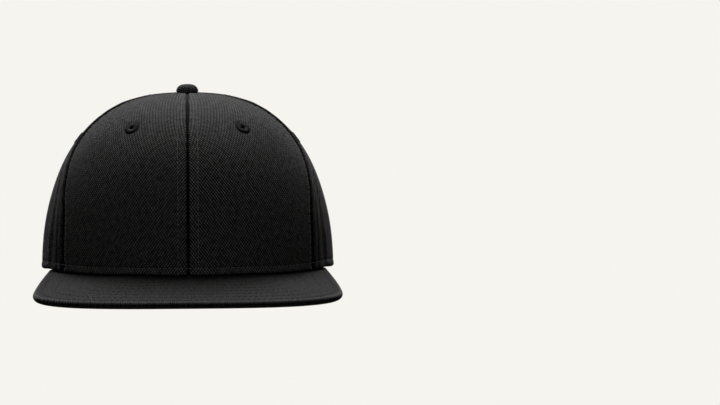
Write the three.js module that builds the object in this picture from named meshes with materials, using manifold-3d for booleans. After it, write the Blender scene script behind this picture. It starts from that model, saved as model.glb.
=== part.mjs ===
// Six-panel snapback cap: structured crown, flat brim, covered button, sewn eyelets, sweatband
// and a two-part plastic strap that closes with pegs. Millimetres, +Z up, front of the cap to -Y.
import * as THREE from 'three';
import { mergeVertices } from 'three/addons/utils/BufferGeometryUtils.js';
import Module from 'manifold-3d';

const wasm = await Module();
wasm.setup();

const radians = THREE.MathUtils.degToRad;
const degrees = THREE.MathUtils.radToDeg;

// Crown: outer sizes at the hem, and its height above the surface that it stands on
const crownHalfWidth = 89.7;
const crownFront = 99;
const crownBack = 102;
const crownHeight = 111.5;
const crownWall = 2;
const crownFlare = 0.015; // share by which the plan narrows in front and widens behind
const seamGap = 0.3;
const deepestDent = 1.6;
const seamRoll = 0.7; // how far a panel's edge turns in at its seam
const seamRollWidth = 3;

// Brim
const brimLength = 78;
const brimThickness = 4.2;
const brimHalfWidth = 87.8;
const brimRearHalfWidth = 84.6;
const brimRise = 4.8; // how far the brim climbs from its edge to the crown
const brimRearLift = 1.2; // how far the brim's rear corners rise off the standing surface
const brimEdgeRound = 1.4;
const brimTuck = 3.6; // how far the brim reaches in under the crown's wall
const brimCorner = 62.5; // length of the rounded front corner, from the widest place forward
const brimSquareness = 3.3; // 2 makes the front corners elliptical, and more makes them squarer
const brimFrontShare = 0.55; // share of the edge's half length that is in front of the widest place
const brimHalfAngle = radians(73); // angle of the brim's rear corners along the hem
const brimReachBack = 5; // how far the rear corners lie behind the ends of the brim's seam
const restGap = 0.3;
const hemInFront = brimThickness + brimRise + restGap;
const brimWidest = crownFront + brimLength - brimCorner;
const brimRear = crownFront * Math.cos(brimHalfAngle) - brimReachBack;

// Button on the crown's top
const buttonDiameter = 13.5;
const buttonHeight = 5;
const buttonFootDiameter = 13;
const shankDiameter = 5;
const shankLength = 4.5;

// Sewn eyelets
const eyeletDiameter = 9.2;
const eyeletHole = 2.4;
const eyeletBarrel = 5;
const eyeletThickness = 0.7;
const eyeletSink = 0.6; // how deep the cloth is drawn down under the ring

// Sweatband
const bandHeight = 32;
const bandThickness = 1.2;
const bandLift = 1.2; // height of the band's lower edge above the hem
const bandEndGap = 4.7; // distance between each end of the band and the strap's sewn end

// Opening at the back, and the strap across it
const archHalfWidth = 40.7;
const archSpring = 25;
const archRise = 24;
const strapHeight = 17.4;
const strapClear = 0.4; // height of the strap's lower edge above the hem
const strapThickness = 1.4;
const strapTab = 11; // length of strap sewn in beside the opening
const strapCornerRadius = 6.5;
const strapEase = 14; // length in which the inner strap comes out from behind the outer one
const strapTipClear = 2;
const holePitch = 7.2;
const holeDiameter = 3.8;
const holeCount = 8;
const closedHoles = 5; // holes that have a peg in them
const firstHole = -13.4; // distance of the hole nearest the tip from the middle of the back
const holeDrop = 0.7; // how far the row of holes lies below the strap's middle line
const channelHeight = 6;
const channelDepth = 0.35;
const channelMargin = 3.2;
const pegCount = 8;
const pegDiameter = 2.8;
const pegHeight = 2.3;
const strapTipBeyondHole = holePitch - pegDiameter / 2 - 2 * seamGap;
const cutterClear = 1; // how far a cutting shape or a rough end reaches past what it shapes

const strapMiddle = strapClear + strapHeight / 2 - holeDrop;
const outerStrapDepth = crownWall + 2 * seamGap;
const innerStrapDepth = outerStrapDepth + strapThickness + seamGap;
const tabReach = archHalfWidth + strapTab;

// Height of the hem above the standing surface, as a share of its height in front, by angle
const hemRows = [
  { angle: 0, height: 1 },
  { angle: 20, height: 0.98 },
  { angle: 40, height: 0.85 },
  { angle: 57, height: 0.785 },
  { angle: 73, height: 0.7 },
  { angle: 87, height: 0.44 },
  { angle: 102, height: 0.1 },
  { angle: 114, height: 0 },
  { angle: 180, height: 0 },
];

// Angles of the two side seams from the middle of the front, by share of the crown's height
const seamRows = [
  { share: 0, frontSeam: 57, backSeam: 111 },
  { share: 0.25, frontSeam: 58.3, backSeam: 108 },
  { share: 0.5, frontSeam: 65.4, backSeam: 106.5 },
  { share: 0.7, frontSeam: 73.9, backSeam: 106.5 },
  { share: 0.85, frontSeam: 76.5, backSeam: 108 },
  { share: 0.95, frontSeam: 76, backSeam: 110 },
  { share: 1, frontSeam: 73, backSeam: 111 },
];

// Fullness of the crown's side-on profile: 2 is an ellipse, and more is squarer
const profile = {
  front: { reach: 2.65, rise: 2.25 },
  side: { reach: 2.65, rise: 2.1 },
  back: { reach: 2.15, rise: 2.0 },
};

// Soft dents of the cloth, alike on both sides: how far each spreads round and up, and its depth
// as a share of the deepest one
const dentRows = [
  { angle: 74, share: 0.32, round: 4.5, up: 0.3, depth: 0.6 },
  { angle: 97, share: 0.25, round: 7, up: 0.22, depth: 0.45 },
  { angle: 148, share: 0.4, round: 9, up: 0.13, depth: 1 },
  { angle: 172, share: 0.56, round: 9, up: 0.08, depth: 0.5 },
];

// Places of the eyelets: angle from the middle of the front, and share of the crown's height
const eyeletRows = [
  { panel: 'front', angle: 33.5, share: 0.82 },
  { panel: 'side', angle: 87, share: 0.745 },
  { panel: 'back', angle: 140, share: 0.73 },
];

const fabric = { color: 0x1d1d1e, roughness: 0.92, metalness: 0 };
const plastic = { color: 0x2c2c2d, roughness: 0.5, metalness: 0 };
const thread = { color: 0x161617, roughness: 0.8, metalness: 0 };

// Sides of round shapes
const sides = { strapHole: 12, eyeletHole: 16, eyelet: 12, button: 20, peg: 8 };

// Smooth value of a table's column at a place between its rows, never past the rows beside it
function readTable(rows, key, column, place) {
  const last = rows.length - 1;
  const inside = THREE.MathUtils.clamp(place, rows[0][key], rows[last][key]);
  let low = 0;
  while (low < last - 1 && rows[low + 1][key] < inside) low += 1;
  const share = (inside - rows[low][key]) / (rows[low + 1][key] - rows[low][key]);
  const value = (i) => rows[i][column];
  const rise = (i) => (value(i + 1) - value(i)) / (rows[i + 1][key] - rows[i][key]);
  const slope = (i) => {
    if (i <= 0 || i >= last || rise(i - 1) * rise(i) <= 0) return 0;
    return 2 / (1 / rise(i - 1) + 1 / rise(i));
  };
  const step = rows[low + 1][key] - rows[low][key];
  const square = share * share;
  const cube = square * share;
  return (2 * cube - 3 * square + 1) * value(low) + (cube - 2 * square + share) * step * slope(low)
    + (3 * square - 2 * cube) * value(low + 1) + (cube - square) * step * slope(low + 1);
}

function hemHeight(angle) {
  return hemInFront * readTable(hemRows, 'angle', 'height', Math.abs(degrees(angle)));
}

// Half lengths of the crown's plan at an angle, as a point on the hem's outline
function planPoint(angle) {
  const flare = 1 - crownFlare * Math.cos(angle);
  const length = Math.cos(angle) > 0 ? crownFront : crownBack;
  return new THREE.Vector2(crownHalfWidth * flare * Math.sin(angle), -length * Math.cos(angle));
}

// Exponent of the crown's profile at an angle, blended between front, side and back
function fullness(angle, column) {
  const facing = Math.cos(angle) ** 2;
  const end = Math.cos(angle) > 0 ? profile.front : profile.back;
  return end[column] * facing + profile.side[column] * (1 - facing);
}

function reachShare(angle, share) {
  const level = 1 - Math.min(Math.abs(share), 1) ** fullness(angle, 'rise');
  return Math.max(level, 0) ** (1 / fullness(angle, 'reach'));
}

// Share of the crown's height at which its surface comes within a radius of the axis
function shareAtRadius(angle, radius) {
  const reach = radius / planPoint(angle).length();
  return (1 - reach ** fullness(angle, 'reach')) ** (1 / fullness(angle, 'rise'));
}

function surfacePoint(angle, share) {
  const plan = planPoint(angle).multiplyScalar(reachShare(angle, share));
  const hem = hemHeight(angle);
  return new THREE.Vector3(plan.x, plan.y, hem + (crownHeight - hem) * share);
}

function surfaceNormal(angle, share) {
  const step = 0.004;
  const high = Math.min(share + step, 1);
  const around = surfacePoint(angle + step, share).sub(surfacePoint(angle - step, share));
  const upward = surfacePoint(angle, high).sub(surfacePoint(angle, share - step));
  return around.cross(upward).normalize();
}

// Point of the crown's shape sunk by a depth below its outer surface
function crownPoint(angle, share, depth) {
  return surfacePoint(angle, share).addScaledVector(surfaceNormal(angle, share), -depth);
}

// Depth of the cloth's dents at a place
function dentDepth(angle, share) {
  return dentRows.reduce((sum, dent) => {
    const round = (Math.abs(degrees(angle)) - dent.angle) / dent.round;
    const up = (share - dent.share) / dent.up;
    return sum + deepestDent * dent.depth * Math.exp(-(round ** 2) - up ** 2);
  }, 0);
}

// Share of the crown's height at which the surface reaches a height
function shareAtHeight(angle, height) {
  const hem = hemHeight(angle);
  return (height - hem) / (crownHeight - hem);
}

// Closed mesh with its faces pointing out
function closedMesh(points, triangles) {
  let volume = 0;
  for (const [a, b, c] of triangles) {
    volume += points[a].dot(new THREE.Vector3().crossVectors(points[b], points[c]));
  }
  const facing = volume > 0 ? triangles : triangles.map(([a, b, c]) => [a, c, b]);
  const geometry = new THREE.BufferGeometry();
  geometry.setAttribute('position', new THREE.Float32BufferAttribute(points.flatMap((p) => p.toArray()), 3));
  geometry.setIndex(facing.flat());
  return geometry;
}

// Wall between two matching grids of points, closed along its four borders
function wallBetween(outer, inner) {
  const rows = outer.length;
  const columns = outer[0].length;
  const at = (layer, row, column) => (layer * rows + row) * columns + column;
  const triangles = [];
  const quad = (a, b, c, d) => triangles.push([a, b, c], [a, c, d]);
  for (let row = 0; row < rows - 1; row += 1) {
    for (let column = 0; column < columns - 1; column += 1) {
      quad(at(0, row, column), at(0, row, column + 1), at(0, row + 1, column + 1), at(0, row + 1, column));
      quad(at(1, row, column), at(1, row + 1, column), at(1, row + 1, column + 1), at(1, row, column + 1));
    }
  }
  const lastRow = rows - 1;
  const lastColumn = columns - 1;
  for (let column = 0; column < lastColumn; column += 1) {
    quad(at(0, 0, column), at(1, 0, column), at(1, 0, column + 1), at(0, 0, column + 1));
    quad(at(0, lastRow, column), at(0, lastRow, column + 1), at(1, lastRow, column + 1), at(1, lastRow, column));
  }
  for (let row = 0; row < lastRow; row += 1) {
    quad(at(0, row, 0), at(0, row + 1, 0), at(1, row + 1, 0), at(1, row, 0));
    quad(at(0, row, lastColumn), at(1, row, lastColumn), at(1, row + 1, lastColumn), at(0, row + 1, lastColumn));
  }
  return closedMesh([...outer, ...inner].flat(), triangles);
}

function toSolid(geometry) {
  const bare = geometry.clone();
  bare.deleteAttribute('normal');
  bare.deleteAttribute('uv');
  const merged = mergeVertices(bare, 1e-4);
  return new wasm.Manifold(new wasm.Mesh({
    numProp: 3,
    vertProperties: new Float32Array(merged.attributes.position.array),
    triVerts: new Uint32Array(merged.index.array),
  }));
}

function toGeometry(solid) {
  const mesh = solid.getMesh();
  const geometry = new THREE.BufferGeometry();
  geometry.setAttribute('position', new THREE.BufferAttribute(new Float32Array(mesh.vertProperties), 3));
  geometry.setIndex(new THREE.BufferAttribute(new Uint32Array(mesh.triVerts), 1));
  return geometry;
}

function cut(geometry, tools) {
  return toGeometry(tools.reduce((solid, tool) => solid.subtract(toSolid(tool)), toSolid(geometry)));
}

// Turns a geometry's +Z axis onto a direction and moves it to a place
function placed(geometry, place, direction) {
  const turn = new THREE.Quaternion().setFromUnitVectors(new THREE.Vector3(0, 0, 1), direction);
  return geometry.applyQuaternion(turn).translate(place.x, place.y, place.z);
}

// Round bar along the crown's normal, centred on a point of its surface, that reaches to a depth
function barInto(angle, share, diameter, depth, barSides) {
  const bar = new THREE.CylinderGeometry(diameter / 2, diameter / 2, 2 * depth, barSides).rotateX(Math.PI / 2);
  return placed(bar, surfacePoint(angle, share), surfaceNormal(angle, share));
}

// Places across a panel, closer together at its seams
const panelColumns = [0, 0.03, 0.08, 0.18, 0.3, 0.43, 0.57, 0.7, 0.82, 0.92, 0.97, 1];
const panelRowCount = 14;

// Angle of a named seam at a share of the crown's height
function seamAngle(seam, share) {
  if (seam === 'frontCentre') return 0;
  if (seam === 'backCentre') return Math.PI;
  return radians(readTable(seamRows, 'share', seam, share));
}

// One panel of the crown on the +X side, between two seams
function panelGeometry(firstSeam, secondSeam) {
  const topRadius = shankDiameter / 2 + seamGap;
  const layers = [0, crownWall].map((depth) => {
    const rows = [];
    for (let row = 0; row <= panelRowCount; row += 1) {
      const climb = row / panelRowCount;
      rows.push(panelColumns.map((across) => {
        const rough = THREE.MathUtils.lerp(seamAngle(firstSeam, climb), seamAngle(secondSeam, climb), across);
        const top = shareAtRadius(rough, topRadius);
        const turn = Math.asin(top ** (fullness(rough, 'rise') / 2)) * climb;
        const share = Math.sin(turn) ** (2 / fullness(rough, 'rise'));
        const radius = planPoint(rough).length() * reachShare(rough, share);
        const trim = seamGap / 2 / radius;
        const from = seamAngle(firstSeam, share) + trim;
        const to = seamAngle(secondSeam, share) - trim;
        const angle = THREE.MathUtils.lerp(from, to, across);
        const fromSeam = Math.min(angle - from, to - angle) * radius;
        const roll = seamRoll * Math.exp(-((fromSeam / seamRollWidth) ** 2));
        return crownPoint(angle, share, depth + roll + dentDepth(angle, share));
      }));
    }
    return rows;
  });
  return wallBetween(layers[0], layers[1]);
}

// Prism along Y through the back of the crown, from an outline in x and z
function prismThroughBack(shape, curveSegments) {
  const prism = new THREE.ExtrudeGeometry(shape, { depth: crownBack, bevelEnabled: false, curveSegments });
  return prism.rotateX(Math.PI / 2).translate(0, crownBack * 1.5, 0);
}

// Prism with the outline of the opening at the back
function archTool() {
  const shape = new THREE.Shape();
  shape.moveTo(-archHalfWidth, -archSpring);
  shape.lineTo(archHalfWidth, -archSpring);
  shape.lineTo(archHalfWidth, archSpring);
  shape.absellipse(0, archSpring, archHalfWidth, archRise, 0, Math.PI, false);
  shape.lineTo(-archHalfWidth, -archSpring);
  return prismThroughBack(shape, 20);
}

// Sewn ring of thread round a hole, with a barrel through the cloth
function eyeletGeometry(angle, share) {
  const inner = eyeletHole / 2;
  const outer = eyeletDiameter / 2;
  const barrel = eyeletBarrel / 2;
  const base = seamGap - eyeletSink;
  const crest = base + eyeletThickness;
  const shoulder = eyeletThickness * 0.6;
  const outline = [
    [inner, -crownWall],
    [barrel, -crownWall],
    [barrel, base],
    [outer, base],
    [outer, crest - shoulder],
    [outer - shoulder, crest],
    [inner + shoulder, crest],
    [inner, crest - shoulder],
    [inner, -crownWall],
  ].map(([radius, height]) => new THREE.Vector2(radius, height));
  const ring = new THREE.LatheGeometry(outline, sides.eyelet).rotateX(Math.PI / 2);
  return placed(ring, surfacePoint(angle, share), surfaceNormal(angle, share));
}

// Cloth-covered button: a low dome that sits on the crown, with its shank through the crown's top
function buttonGeometry() {
  const radius = buttonDiameter / 2;
  const foot = buttonFootDiameter / 2;
  const shank = shankDiameter / 2;
  const waist = buttonHeight * 0.12; // height of the widest place
  const roundness = 0.7; // 1 makes the dome elliptical, and less makes it fuller at its edge
  const outline = [
    [0, -shankLength],
    [shank, -shankLength],
    [shank, 0],
    [foot, 0],
    [radius, waist],
  ];
  const domeSteps = 5;
  for (let step = 1; step < domeSteps; step += 1) {
    const turn = (step / domeSteps) * (Math.PI / 2);
    outline.push([radius * Math.cos(turn) ** roundness, waist + (buttonHeight - waist) * Math.sin(turn)]);
  }
  outline.push([0, buttonHeight]);
  const points = outline.map(([across, height]) => new THREE.Vector2(across, height));
  const turned = new THREE.LatheGeometry(points, sides.button).rotateX(Math.PI / 2);
  return turned.translate(0, 0, crownHeight + restGap);
}

// Outer edge of the brim in plan, from its rear corner on the -X side round to the +X one
class BrimEdge extends THREE.Curve {
  getPoint(place, target = new THREE.Vector3()) {
    const side = place < 0.5 ? -1 : 1;
    const along = Math.abs(place - 0.5) * 2;
    if (along < brimFrontShare) {
      const turn = (1 - along / brimFrontShare) * (Math.PI / 2);
      const across = brimHalfWidth * Math.cos(turn) ** (2 / brimSquareness);
      const forward = brimWidest + brimCorner * Math.sin(turn) ** (2 / brimSquareness);
      return target.set(side * across, -forward, 0);
    }
    const share = (along - brimFrontShare) / (1 - brimFrontShare);
    const across = THREE.MathUtils.lerp(brimHalfWidth, brimRearHalfWidth, share * share);
    const forward = THREE.MathUtils.lerp(brimWidest, brimRear, share);
    return target.set(side * across, -forward, brimRearLift * share ** 3);
  }
}

// Stiff board from under the crown's wall out to the edge, with round rims above and below
function brimGeometry() {
  const columns = 46;
  const edge = new BrimEdge().getSpacedPoints(columns);
  const outShares = [0, 0.06, 0.25, 0.5, 0.75, 1]; // places between the crown and the edge
  const rimTurns = [45, 0];
  const half = brimThickness / 2;
  const layers = [1, -1].map((side) => {
    const surface = outShares.map((out) => edge.map((place, column) => {
      const angle = THREE.MathUtils.lerp(-brimHalfAngle, brimHalfAngle, column / columns);
      const inner = crownPoint(angle, 0, brimTuck).setZ(hemHeight(angle) - restGap - brimThickness);
      const outer = place.clone().addScaledVector(edgeOutward(edge, column), -brimEdgeRound);
      return inner.lerp(outer, out).add(new THREE.Vector3(0, 0, half + side * half));
    }));
    const round = rimTurns.map((turn) => edge.map((place, column) => {
      const inset = edgeOutward(edge, column).multiplyScalar(brimEdgeRound * (Math.cos(radians(turn)) - 1));
      const rise = half - brimEdgeRound * (1 - Math.sin(radians(turn)));
      return place.clone().add(inset).add(new THREE.Vector3(0, 0, half + side * rise));
    }));
    return [...surface, ...round];
  });
  return wallBetween(layers[0], layers[1]);
}

// Direction away from the brim at one point of its edge
function edgeOutward(edge, column) {
  const before = edge[Math.max(column - 1, 0)];
  const after = edge[Math.min(column + 1, edge.length - 1)];
  const along = after.clone().sub(before);
  return new THREE.Vector3(along.y, -along.x, 0).normalize();
}

// Band inside the hem, from one side of the opening round the front to the other
function sweatbandGeometry() {
  const columns = 40;
  const end = Math.PI - Math.asin(tabReach / crownHalfWidth) - bandEndGap / crownHalfWidth;
  const heights = [bandLift, bandHeight / 3, bandHeight * 2 / 3, bandHeight];
  const face = crownWall + seamRoll + seamGap;
  const layers = [face, face + bandThickness].map((depth) => heights.map((height) => {
    const row = [];
    for (let column = 0; column <= columns; column += 1) {
      const angle = THREE.MathUtils.lerp(-end, end, column / columns);
      row.push(crownPoint(angle, shareAtHeight(angle, hemHeight(angle) + height), depth));
    }
    return row;
  }));
  return wallBetween(layers[0], layers[1]);
}

// Angle along the back of the crown at a distance from its middle, positive towards +X
function backAngle(distance) {
  return Math.PI - distance / crownHalfWidth;
}

// Curved strip that follows the crown behind its wall, between two distances from the middle
function strapStrip(from, to, depthAt, thickness, low, high) {
  const longestStep = 4.5;
  const columns = Math.ceil(Math.abs(to - from) / longestStep);
  const heights = [low, high];
  const layers = [0, thickness].map((more) => heights.map((height) => {
    const row = [];
    for (let column = 0; column <= columns; column += 1) {
      const distance = THREE.MathUtils.lerp(from, to, column / columns);
      const angle = backAngle(distance);
      row.push(crownPoint(angle, shareAtHeight(angle, height), depthAt(distance) + more));
    }
    return row;
  }));
  return wallBetween(layers[0], layers[1]);
}

// Prism that rounds a strap's free end: tip is its distance from the middle, side points to the tab
function strapOutline(tip, side, depth) {
  const low = strapClear;
  const high = strapClear + strapHeight;
  const corner = strapCornerRadius;
  const shape = new THREE.Shape();
  shape.moveTo(crownHalfWidth, low - strapClear);
  shape.lineTo(crownHalfWidth, high + strapClear);
  shape.lineTo(corner, high + strapClear);
  shape.absellipse(corner, high - corner, corner, corner, Math.PI / 2, Math.PI, false);
  shape.lineTo(0, low + corner);
  shape.absellipse(corner, low + corner, corner, corner, Math.PI, Math.PI * 1.5, false);
  shape.lineTo(corner, low - strapClear);
  const prism = prismThroughBack(shape, 6);
  if (side < 0) prism.rotateZ(Math.PI).translate(0, crownBack * 2, 0);
  const end = crownPoint(backAngle(tip), 0, depth);
  return prism.translate(end.x, 0, 0);
}

function rowPlaces(count, first, pitch) {
  return Array.from({ length: count }, (_, index) => first + index * pitch);
}

// Outer strap: its tab is on the +X side, with a row of holes in a shallow channel
function holedStrapGeometry() {
  const tip = firstHole - strapTipBeyondHole;
  const strip = strapStrip(
    tip - cutterClear, tabReach, () => outerStrapDepth, strapThickness, strapClear, strapClear + strapHeight);
  const channelLow = strapMiddle - channelHeight / 2;
  const lastHole = firstHole + (holeCount - 1) * holePitch;
  const channel = strapStrip(
    firstHole - channelMargin, lastHole + channelMargin, () => outerStrapDepth - cutterClear,
    cutterClear + channelDepth, channelLow, channelLow + channelHeight);
  const reach = innerStrapDepth + strapThickness;
  const holes = rowPlaces(holeCount, firstHole, holePitch).map((distance) => {
    const angle = backAngle(distance);
    return barInto(angle, shareAtHeight(angle, strapMiddle), holeDiameter, reach, sides.strapHole);
  });
  const rounded = toGeometry(toSolid(strip).intersect(toSolid(strapOutline(tip, 1, outerStrapDepth))));
  return cut(rounded, [channel, ...holes]);
}

// Inner strap: its tab is on the -X side, and a row of domed pegs stands on its outer face
function peggedStrapGeometry() {
  const firstPeg = firstHole + holePitch * (closedHoles - 1);
  const tip = firstPeg + strapTipBeyondHole;
  const coveredEnd = firstHole - strapTipBeyondHole - strapTipClear;
  const depthAt = (distance) => {
    const share = THREE.MathUtils.smoothstep(distance, coveredEnd - strapEase, coveredEnd);
    return THREE.MathUtils.lerp(outerStrapDepth, innerStrapDepth, share);
  };
  const strip = strapStrip(
    tip + cutterClear, -tabReach, depthAt, strapThickness, strapClear, strapClear + strapHeight);
  let solid = toSolid(strip).intersect(toSolid(strapOutline(tip, -1, innerStrapDepth)));
  for (const distance of rowPlaces(pegCount, firstPeg, -holePitch)) {
    const angle = backAngle(distance);
    const share = shareAtHeight(angle, strapMiddle);
    solid = solid.add(toSolid(placed(
      pegShape(), crownPoint(angle, share, depthAt(distance)), surfaceNormal(angle, share))));
  }
  return toGeometry(solid);
}

// Domed peg with its root sunk into the strap that carries it
function pegShape() {
  const radius = pegDiameter / 2;
  const dome = radius * 0.6; // height of the round head
  const root = -strapThickness / 2;
  const outline = [new THREE.Vector2(0, root), new THREE.Vector2(radius, root)];
  const domeSteps = 3;
  for (let step = 0; step < domeSteps; step += 1) {
    const turn = (step / domeSteps) * (Math.PI / 2);
    outline.push(new THREE.Vector2(radius * Math.cos(turn), pegHeight - dome + dome * Math.sin(turn)));
  }
  outline.push(new THREE.Vector2(0, pegHeight));
  return new THREE.LatheGeometry(outline, sides.peg).rotateX(Math.PI / 2);
}

// The same solid on the other side of the cap
function mirrored(geometry) {
  const copy = geometry.clone().scale(-1, 1, 1);
  const index = copy.index.array;
  for (let corner = 0; corner < index.length; corner += 3) {
    [index[corner + 1], index[corner + 2]] = [index[corner + 2], index[corner + 1]];
  }
  return copy;
}

const cap = new THREE.Group();

function addPiece(name, geometry, finish) {
  const piece = new THREE.Mesh(geometry, new THREE.MeshStandardMaterial(finish));
  piece.name = name;
  cap.add(piece);
}

const panelSeams = {
  front: ['frontCentre', 'frontSeam'],
  side: ['frontSeam', 'backSeam'],
  back: ['backSeam', 'backCentre'],
};

for (const { panel, angle, share } of eyeletRows) {
  const place = radians(angle);
  const tools = [
    barInto(place, share, eyeletBarrel + 2 * seamGap, crownWall + 2 * cutterClear, sides.eyeletHole),
    barInto(place, share, eyeletDiameter + 2 * seamGap, eyeletSink, sides.eyeletHole),
  ];
  if (panel === 'back') tools.push(archTool());
  const cloth = cut(panelGeometry(...panelSeams[panel]), tools);
  addPiece(`${panel}_panel_right`, cloth, fabric);
  addPiece(`${panel}_panel_left`, mirrored(cloth), fabric);
  const ring = eyeletGeometry(place, share);
  addPiece(`${panel}_eyelet_right`, ring, thread);
  addPiece(`${panel}_eyelet_left`, mirrored(ring), thread);
}
addPiece('button', buttonGeometry(), fabric);
addPiece('brim', brimGeometry(), fabric);
addPiece('sweatband', sweatbandGeometry(), fabric);
addPiece('strap_with_holes', holedStrapGeometry(), plastic);
addPiece('strap_with_pegs', peggedStrapGeometry(), plastic);

// The origin lies on the standing surface, under the middle of the cap's length
cap.position.y = (crownFront + brimLength - crownBack) / 2;

export default cap;
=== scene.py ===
"""Looks of a black six-panel snapback cap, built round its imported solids.

Sizes are in millimetres and become metres when a mesh is made. Angles round the crown start at the
middle of its front and grow towards +X. The cap's right pieces lie at +X, and its left ones mirror them.
"""
import math

import bmesh
import bpy
import numpy as np
from mathutils import Matrix, Vector


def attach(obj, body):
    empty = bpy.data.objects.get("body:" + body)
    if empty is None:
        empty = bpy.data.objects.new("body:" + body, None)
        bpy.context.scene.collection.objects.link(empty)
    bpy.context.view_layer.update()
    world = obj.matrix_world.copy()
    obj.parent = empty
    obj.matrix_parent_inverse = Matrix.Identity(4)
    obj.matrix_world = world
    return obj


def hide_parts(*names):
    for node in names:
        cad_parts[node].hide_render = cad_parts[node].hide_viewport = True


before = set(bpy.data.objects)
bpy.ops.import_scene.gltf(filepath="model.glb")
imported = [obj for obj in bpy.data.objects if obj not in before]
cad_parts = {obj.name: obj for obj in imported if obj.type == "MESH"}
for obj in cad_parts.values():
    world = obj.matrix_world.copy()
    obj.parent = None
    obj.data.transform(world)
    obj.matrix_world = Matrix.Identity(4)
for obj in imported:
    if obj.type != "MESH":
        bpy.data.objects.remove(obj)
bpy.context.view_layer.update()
MM = 0.001

# Crown, as the solids have it
CROWN_HALF_WIDTH = 89.7
CROWN_FRONT = 99
CROWN_BACK = 102
CROWN_HEIGHT = 111.5
CROWN_WALL = 2
CROWN_FLARE = 0.015
SEAM_GAP = 0.3
DEEPEST_DENT = 1.6
BRIM_LENGTH = 78
CROWN_MIDDLE_Y = (CROWN_FRONT + BRIM_LENGTH - CROWN_BACK) / 2

# Brim
BRIM_THICKNESS = 4.2
BRIM_HALF_WIDTH = 87.8
BRIM_REAR_HALF_WIDTH = 84.6
BRIM_RISE = 4.8
BRIM_REAR_LIFT = 1.2
BRIM_EDGE_ROUND = 2.1
BRIM_TUCK = 3.6
BRIM_CORNER = 62.5
BRIM_HALF_ANGLE = math.radians(73)
BRIM_REAR_TUCK = 5
REST_GAP = 0.3
HEM_IN_FRONT = BRIM_THICKNESS + BRIM_RISE + REST_GAP

# Button and eyelets
BUTTON_DIAMETER = 13.5
BUTTON_HEIGHT = 5
BUTTON_FOOT = 13
SHANK_DIAMETER = 5
SHANK_LENGTH = 4.5
EYELET_DIAMETER = 9.2
EYELET_HOLE = 2.4
EYELET_BARREL = 5
EYELET_THICKNESS = 0.7
EYELET_SINK = 0.6
EYELET_CLEARANCE = 0.15
EYELET_SLOPE = 0.9

# Sweatband, the opening at the back and the strap across it
BAND_HEIGHT = 32
BAND_THICKNESS = 1.2
ARCH_HALF_WIDTH = 40.7
ARCH_SPRING = 25
ARCH_RISE = 24
STRAP_HEIGHT = 17.4
STRAP_CLEAR = 0.4
STRAP_THICKNESS = 1.4
STRAP_TAB = 11
STRAP_CORNER = 6.5
STRAP_TAB_CORNER = 0.5
HOLE_PITCH = 7.2
HOLE_DIAMETER = 3.8
HOLE_COUNT = 8
FIRST_HOLE = -13.4
HOLE_DROP = 0.7
CHANNEL_HEIGHT = 6
CHANNEL_DEPTH = 0.35
CHANNEL_MARGIN = 3.2
CHANNEL_CORNER = 1.2
PEG_COUNT = 8
CLOSED_PEGS = 5
PEG_DIAMETER = 2.8
PEG_HEIGHT = 2.3
OUTER_STRAP_DEPTH = CROWN_WALL + 2 * SEAM_GAP
INNER_STRAP_DEPTH = OUTER_STRAP_DEPTH + STRAP_THICKNESS + SEAM_GAP
STRAP_MIDDLE = STRAP_CLEAR + STRAP_HEIGHT / 2 - HOLE_DROP
STRAP_TIP_BEYOND_HOLE = HOLE_PITCH - PEG_DIAMETER / 2 - 2 * SEAM_GAP

# Sewing
STITCH_PITCH = 3.1
STITCH_LENGTH = 2.5
THREAD_DIAMETER = 0.5
STITCH_GROOVE = 0.26
GROOVE_WIDTH = 0.5
SEAM_DEPTH = 1.6
SEAM_WIDTH = 1
SEAM_SLOPE_DEPTH = 0.15
SEAM_SLOPE_WIDTH = 2.4
# Strength of the painted shade in each seam's dark line
SEAM_PAINTED_SHADE = 1.6  # above 1, so that the middle of the dark line is evenly dark
PUCKER_DEPTH = 0.05
PUCKER_LENGTH = 4.7
ROLL_POWER = 0.7  # below 1, so that rolled cloth is fuller than a plain wave
CENTRE_STITCH = 6  # distance of the topstitching from the seams in the middle of front and back
SIDE_STITCH = 3
WELT_STITCH = 5  # width of the rolled welt along each side panel's front seam
HEM_STITCH = 4.3
HEM_TURN = 0.7
HEM_RISE = 0.3
HEM_GROOVE = 1.3 * STITCH_GROOVE
ARCH_BAND = 8.4
ARCH_BAND_RISE = 0.45
BRIM_FIRST_ROW = 5
BRIM_ROW_PITCH = 9.4
BRIM_ROW_COUNT = 7
BRIM_GROOVE = 0.1
WELT_EDGE_DEPTH = 0.55
CLOTH_WAVE_LENGTH = 34

# Height of the thread's middle above the cloth, as a share of its diameter
THREAD_LIFT = {"seam": 0.55, "hem": 0.5, "opening": 0.3, "brim": 0.1}

# Height of the hem above the floor, as a share of its height in front, by angle
HEM_ROWS = {
    "angle": [0, 20, 40, 57, 73, 87, 102, 114, 180],
    "height": [1, 0.98, 0.85, 0.785, 0.7, 0.44, 0.1, 0, 0],
}

# Angles of the side seams, by share of the crown's height
SEAM_ROWS = {
    "share": [0, 0.25, 0.5, 0.7, 0.85, 0.95, 1],
    "front_seam": [57, 58.3, 65.4, 73.9, 76.5, 76, 73],
    "back_seam": [111, 108, 106.5, 106.5, 108, 110, 111],
}

# Fullness of the crown's side-on profile
PROFILE = {
    "front": {"reach": 2.65, "rise": 2.25},
    "side": {"reach": 2.65, "rise": 2.1},
    "back": {"reach": 2.15, "rise": 2.0},
}

# Soft dents: place, spread round and up, and depth as a share of the deepest one
DENTS = [
    {"angle": 74, "share": 0.32, "round": 4.5, "up": 0.3, "depth": 0.6},
    {"angle": 97, "share": 0.25, "round": 7, "up": 0.22, "depth": 0.45},
    {"angle": 148, "share": 0.4, "round": 9, "up": 0.13, "depth": 1},
    {"angle": 172, "share": 0.56, "round": 9, "up": 0.08, "depth": 0.5},
]

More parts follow.
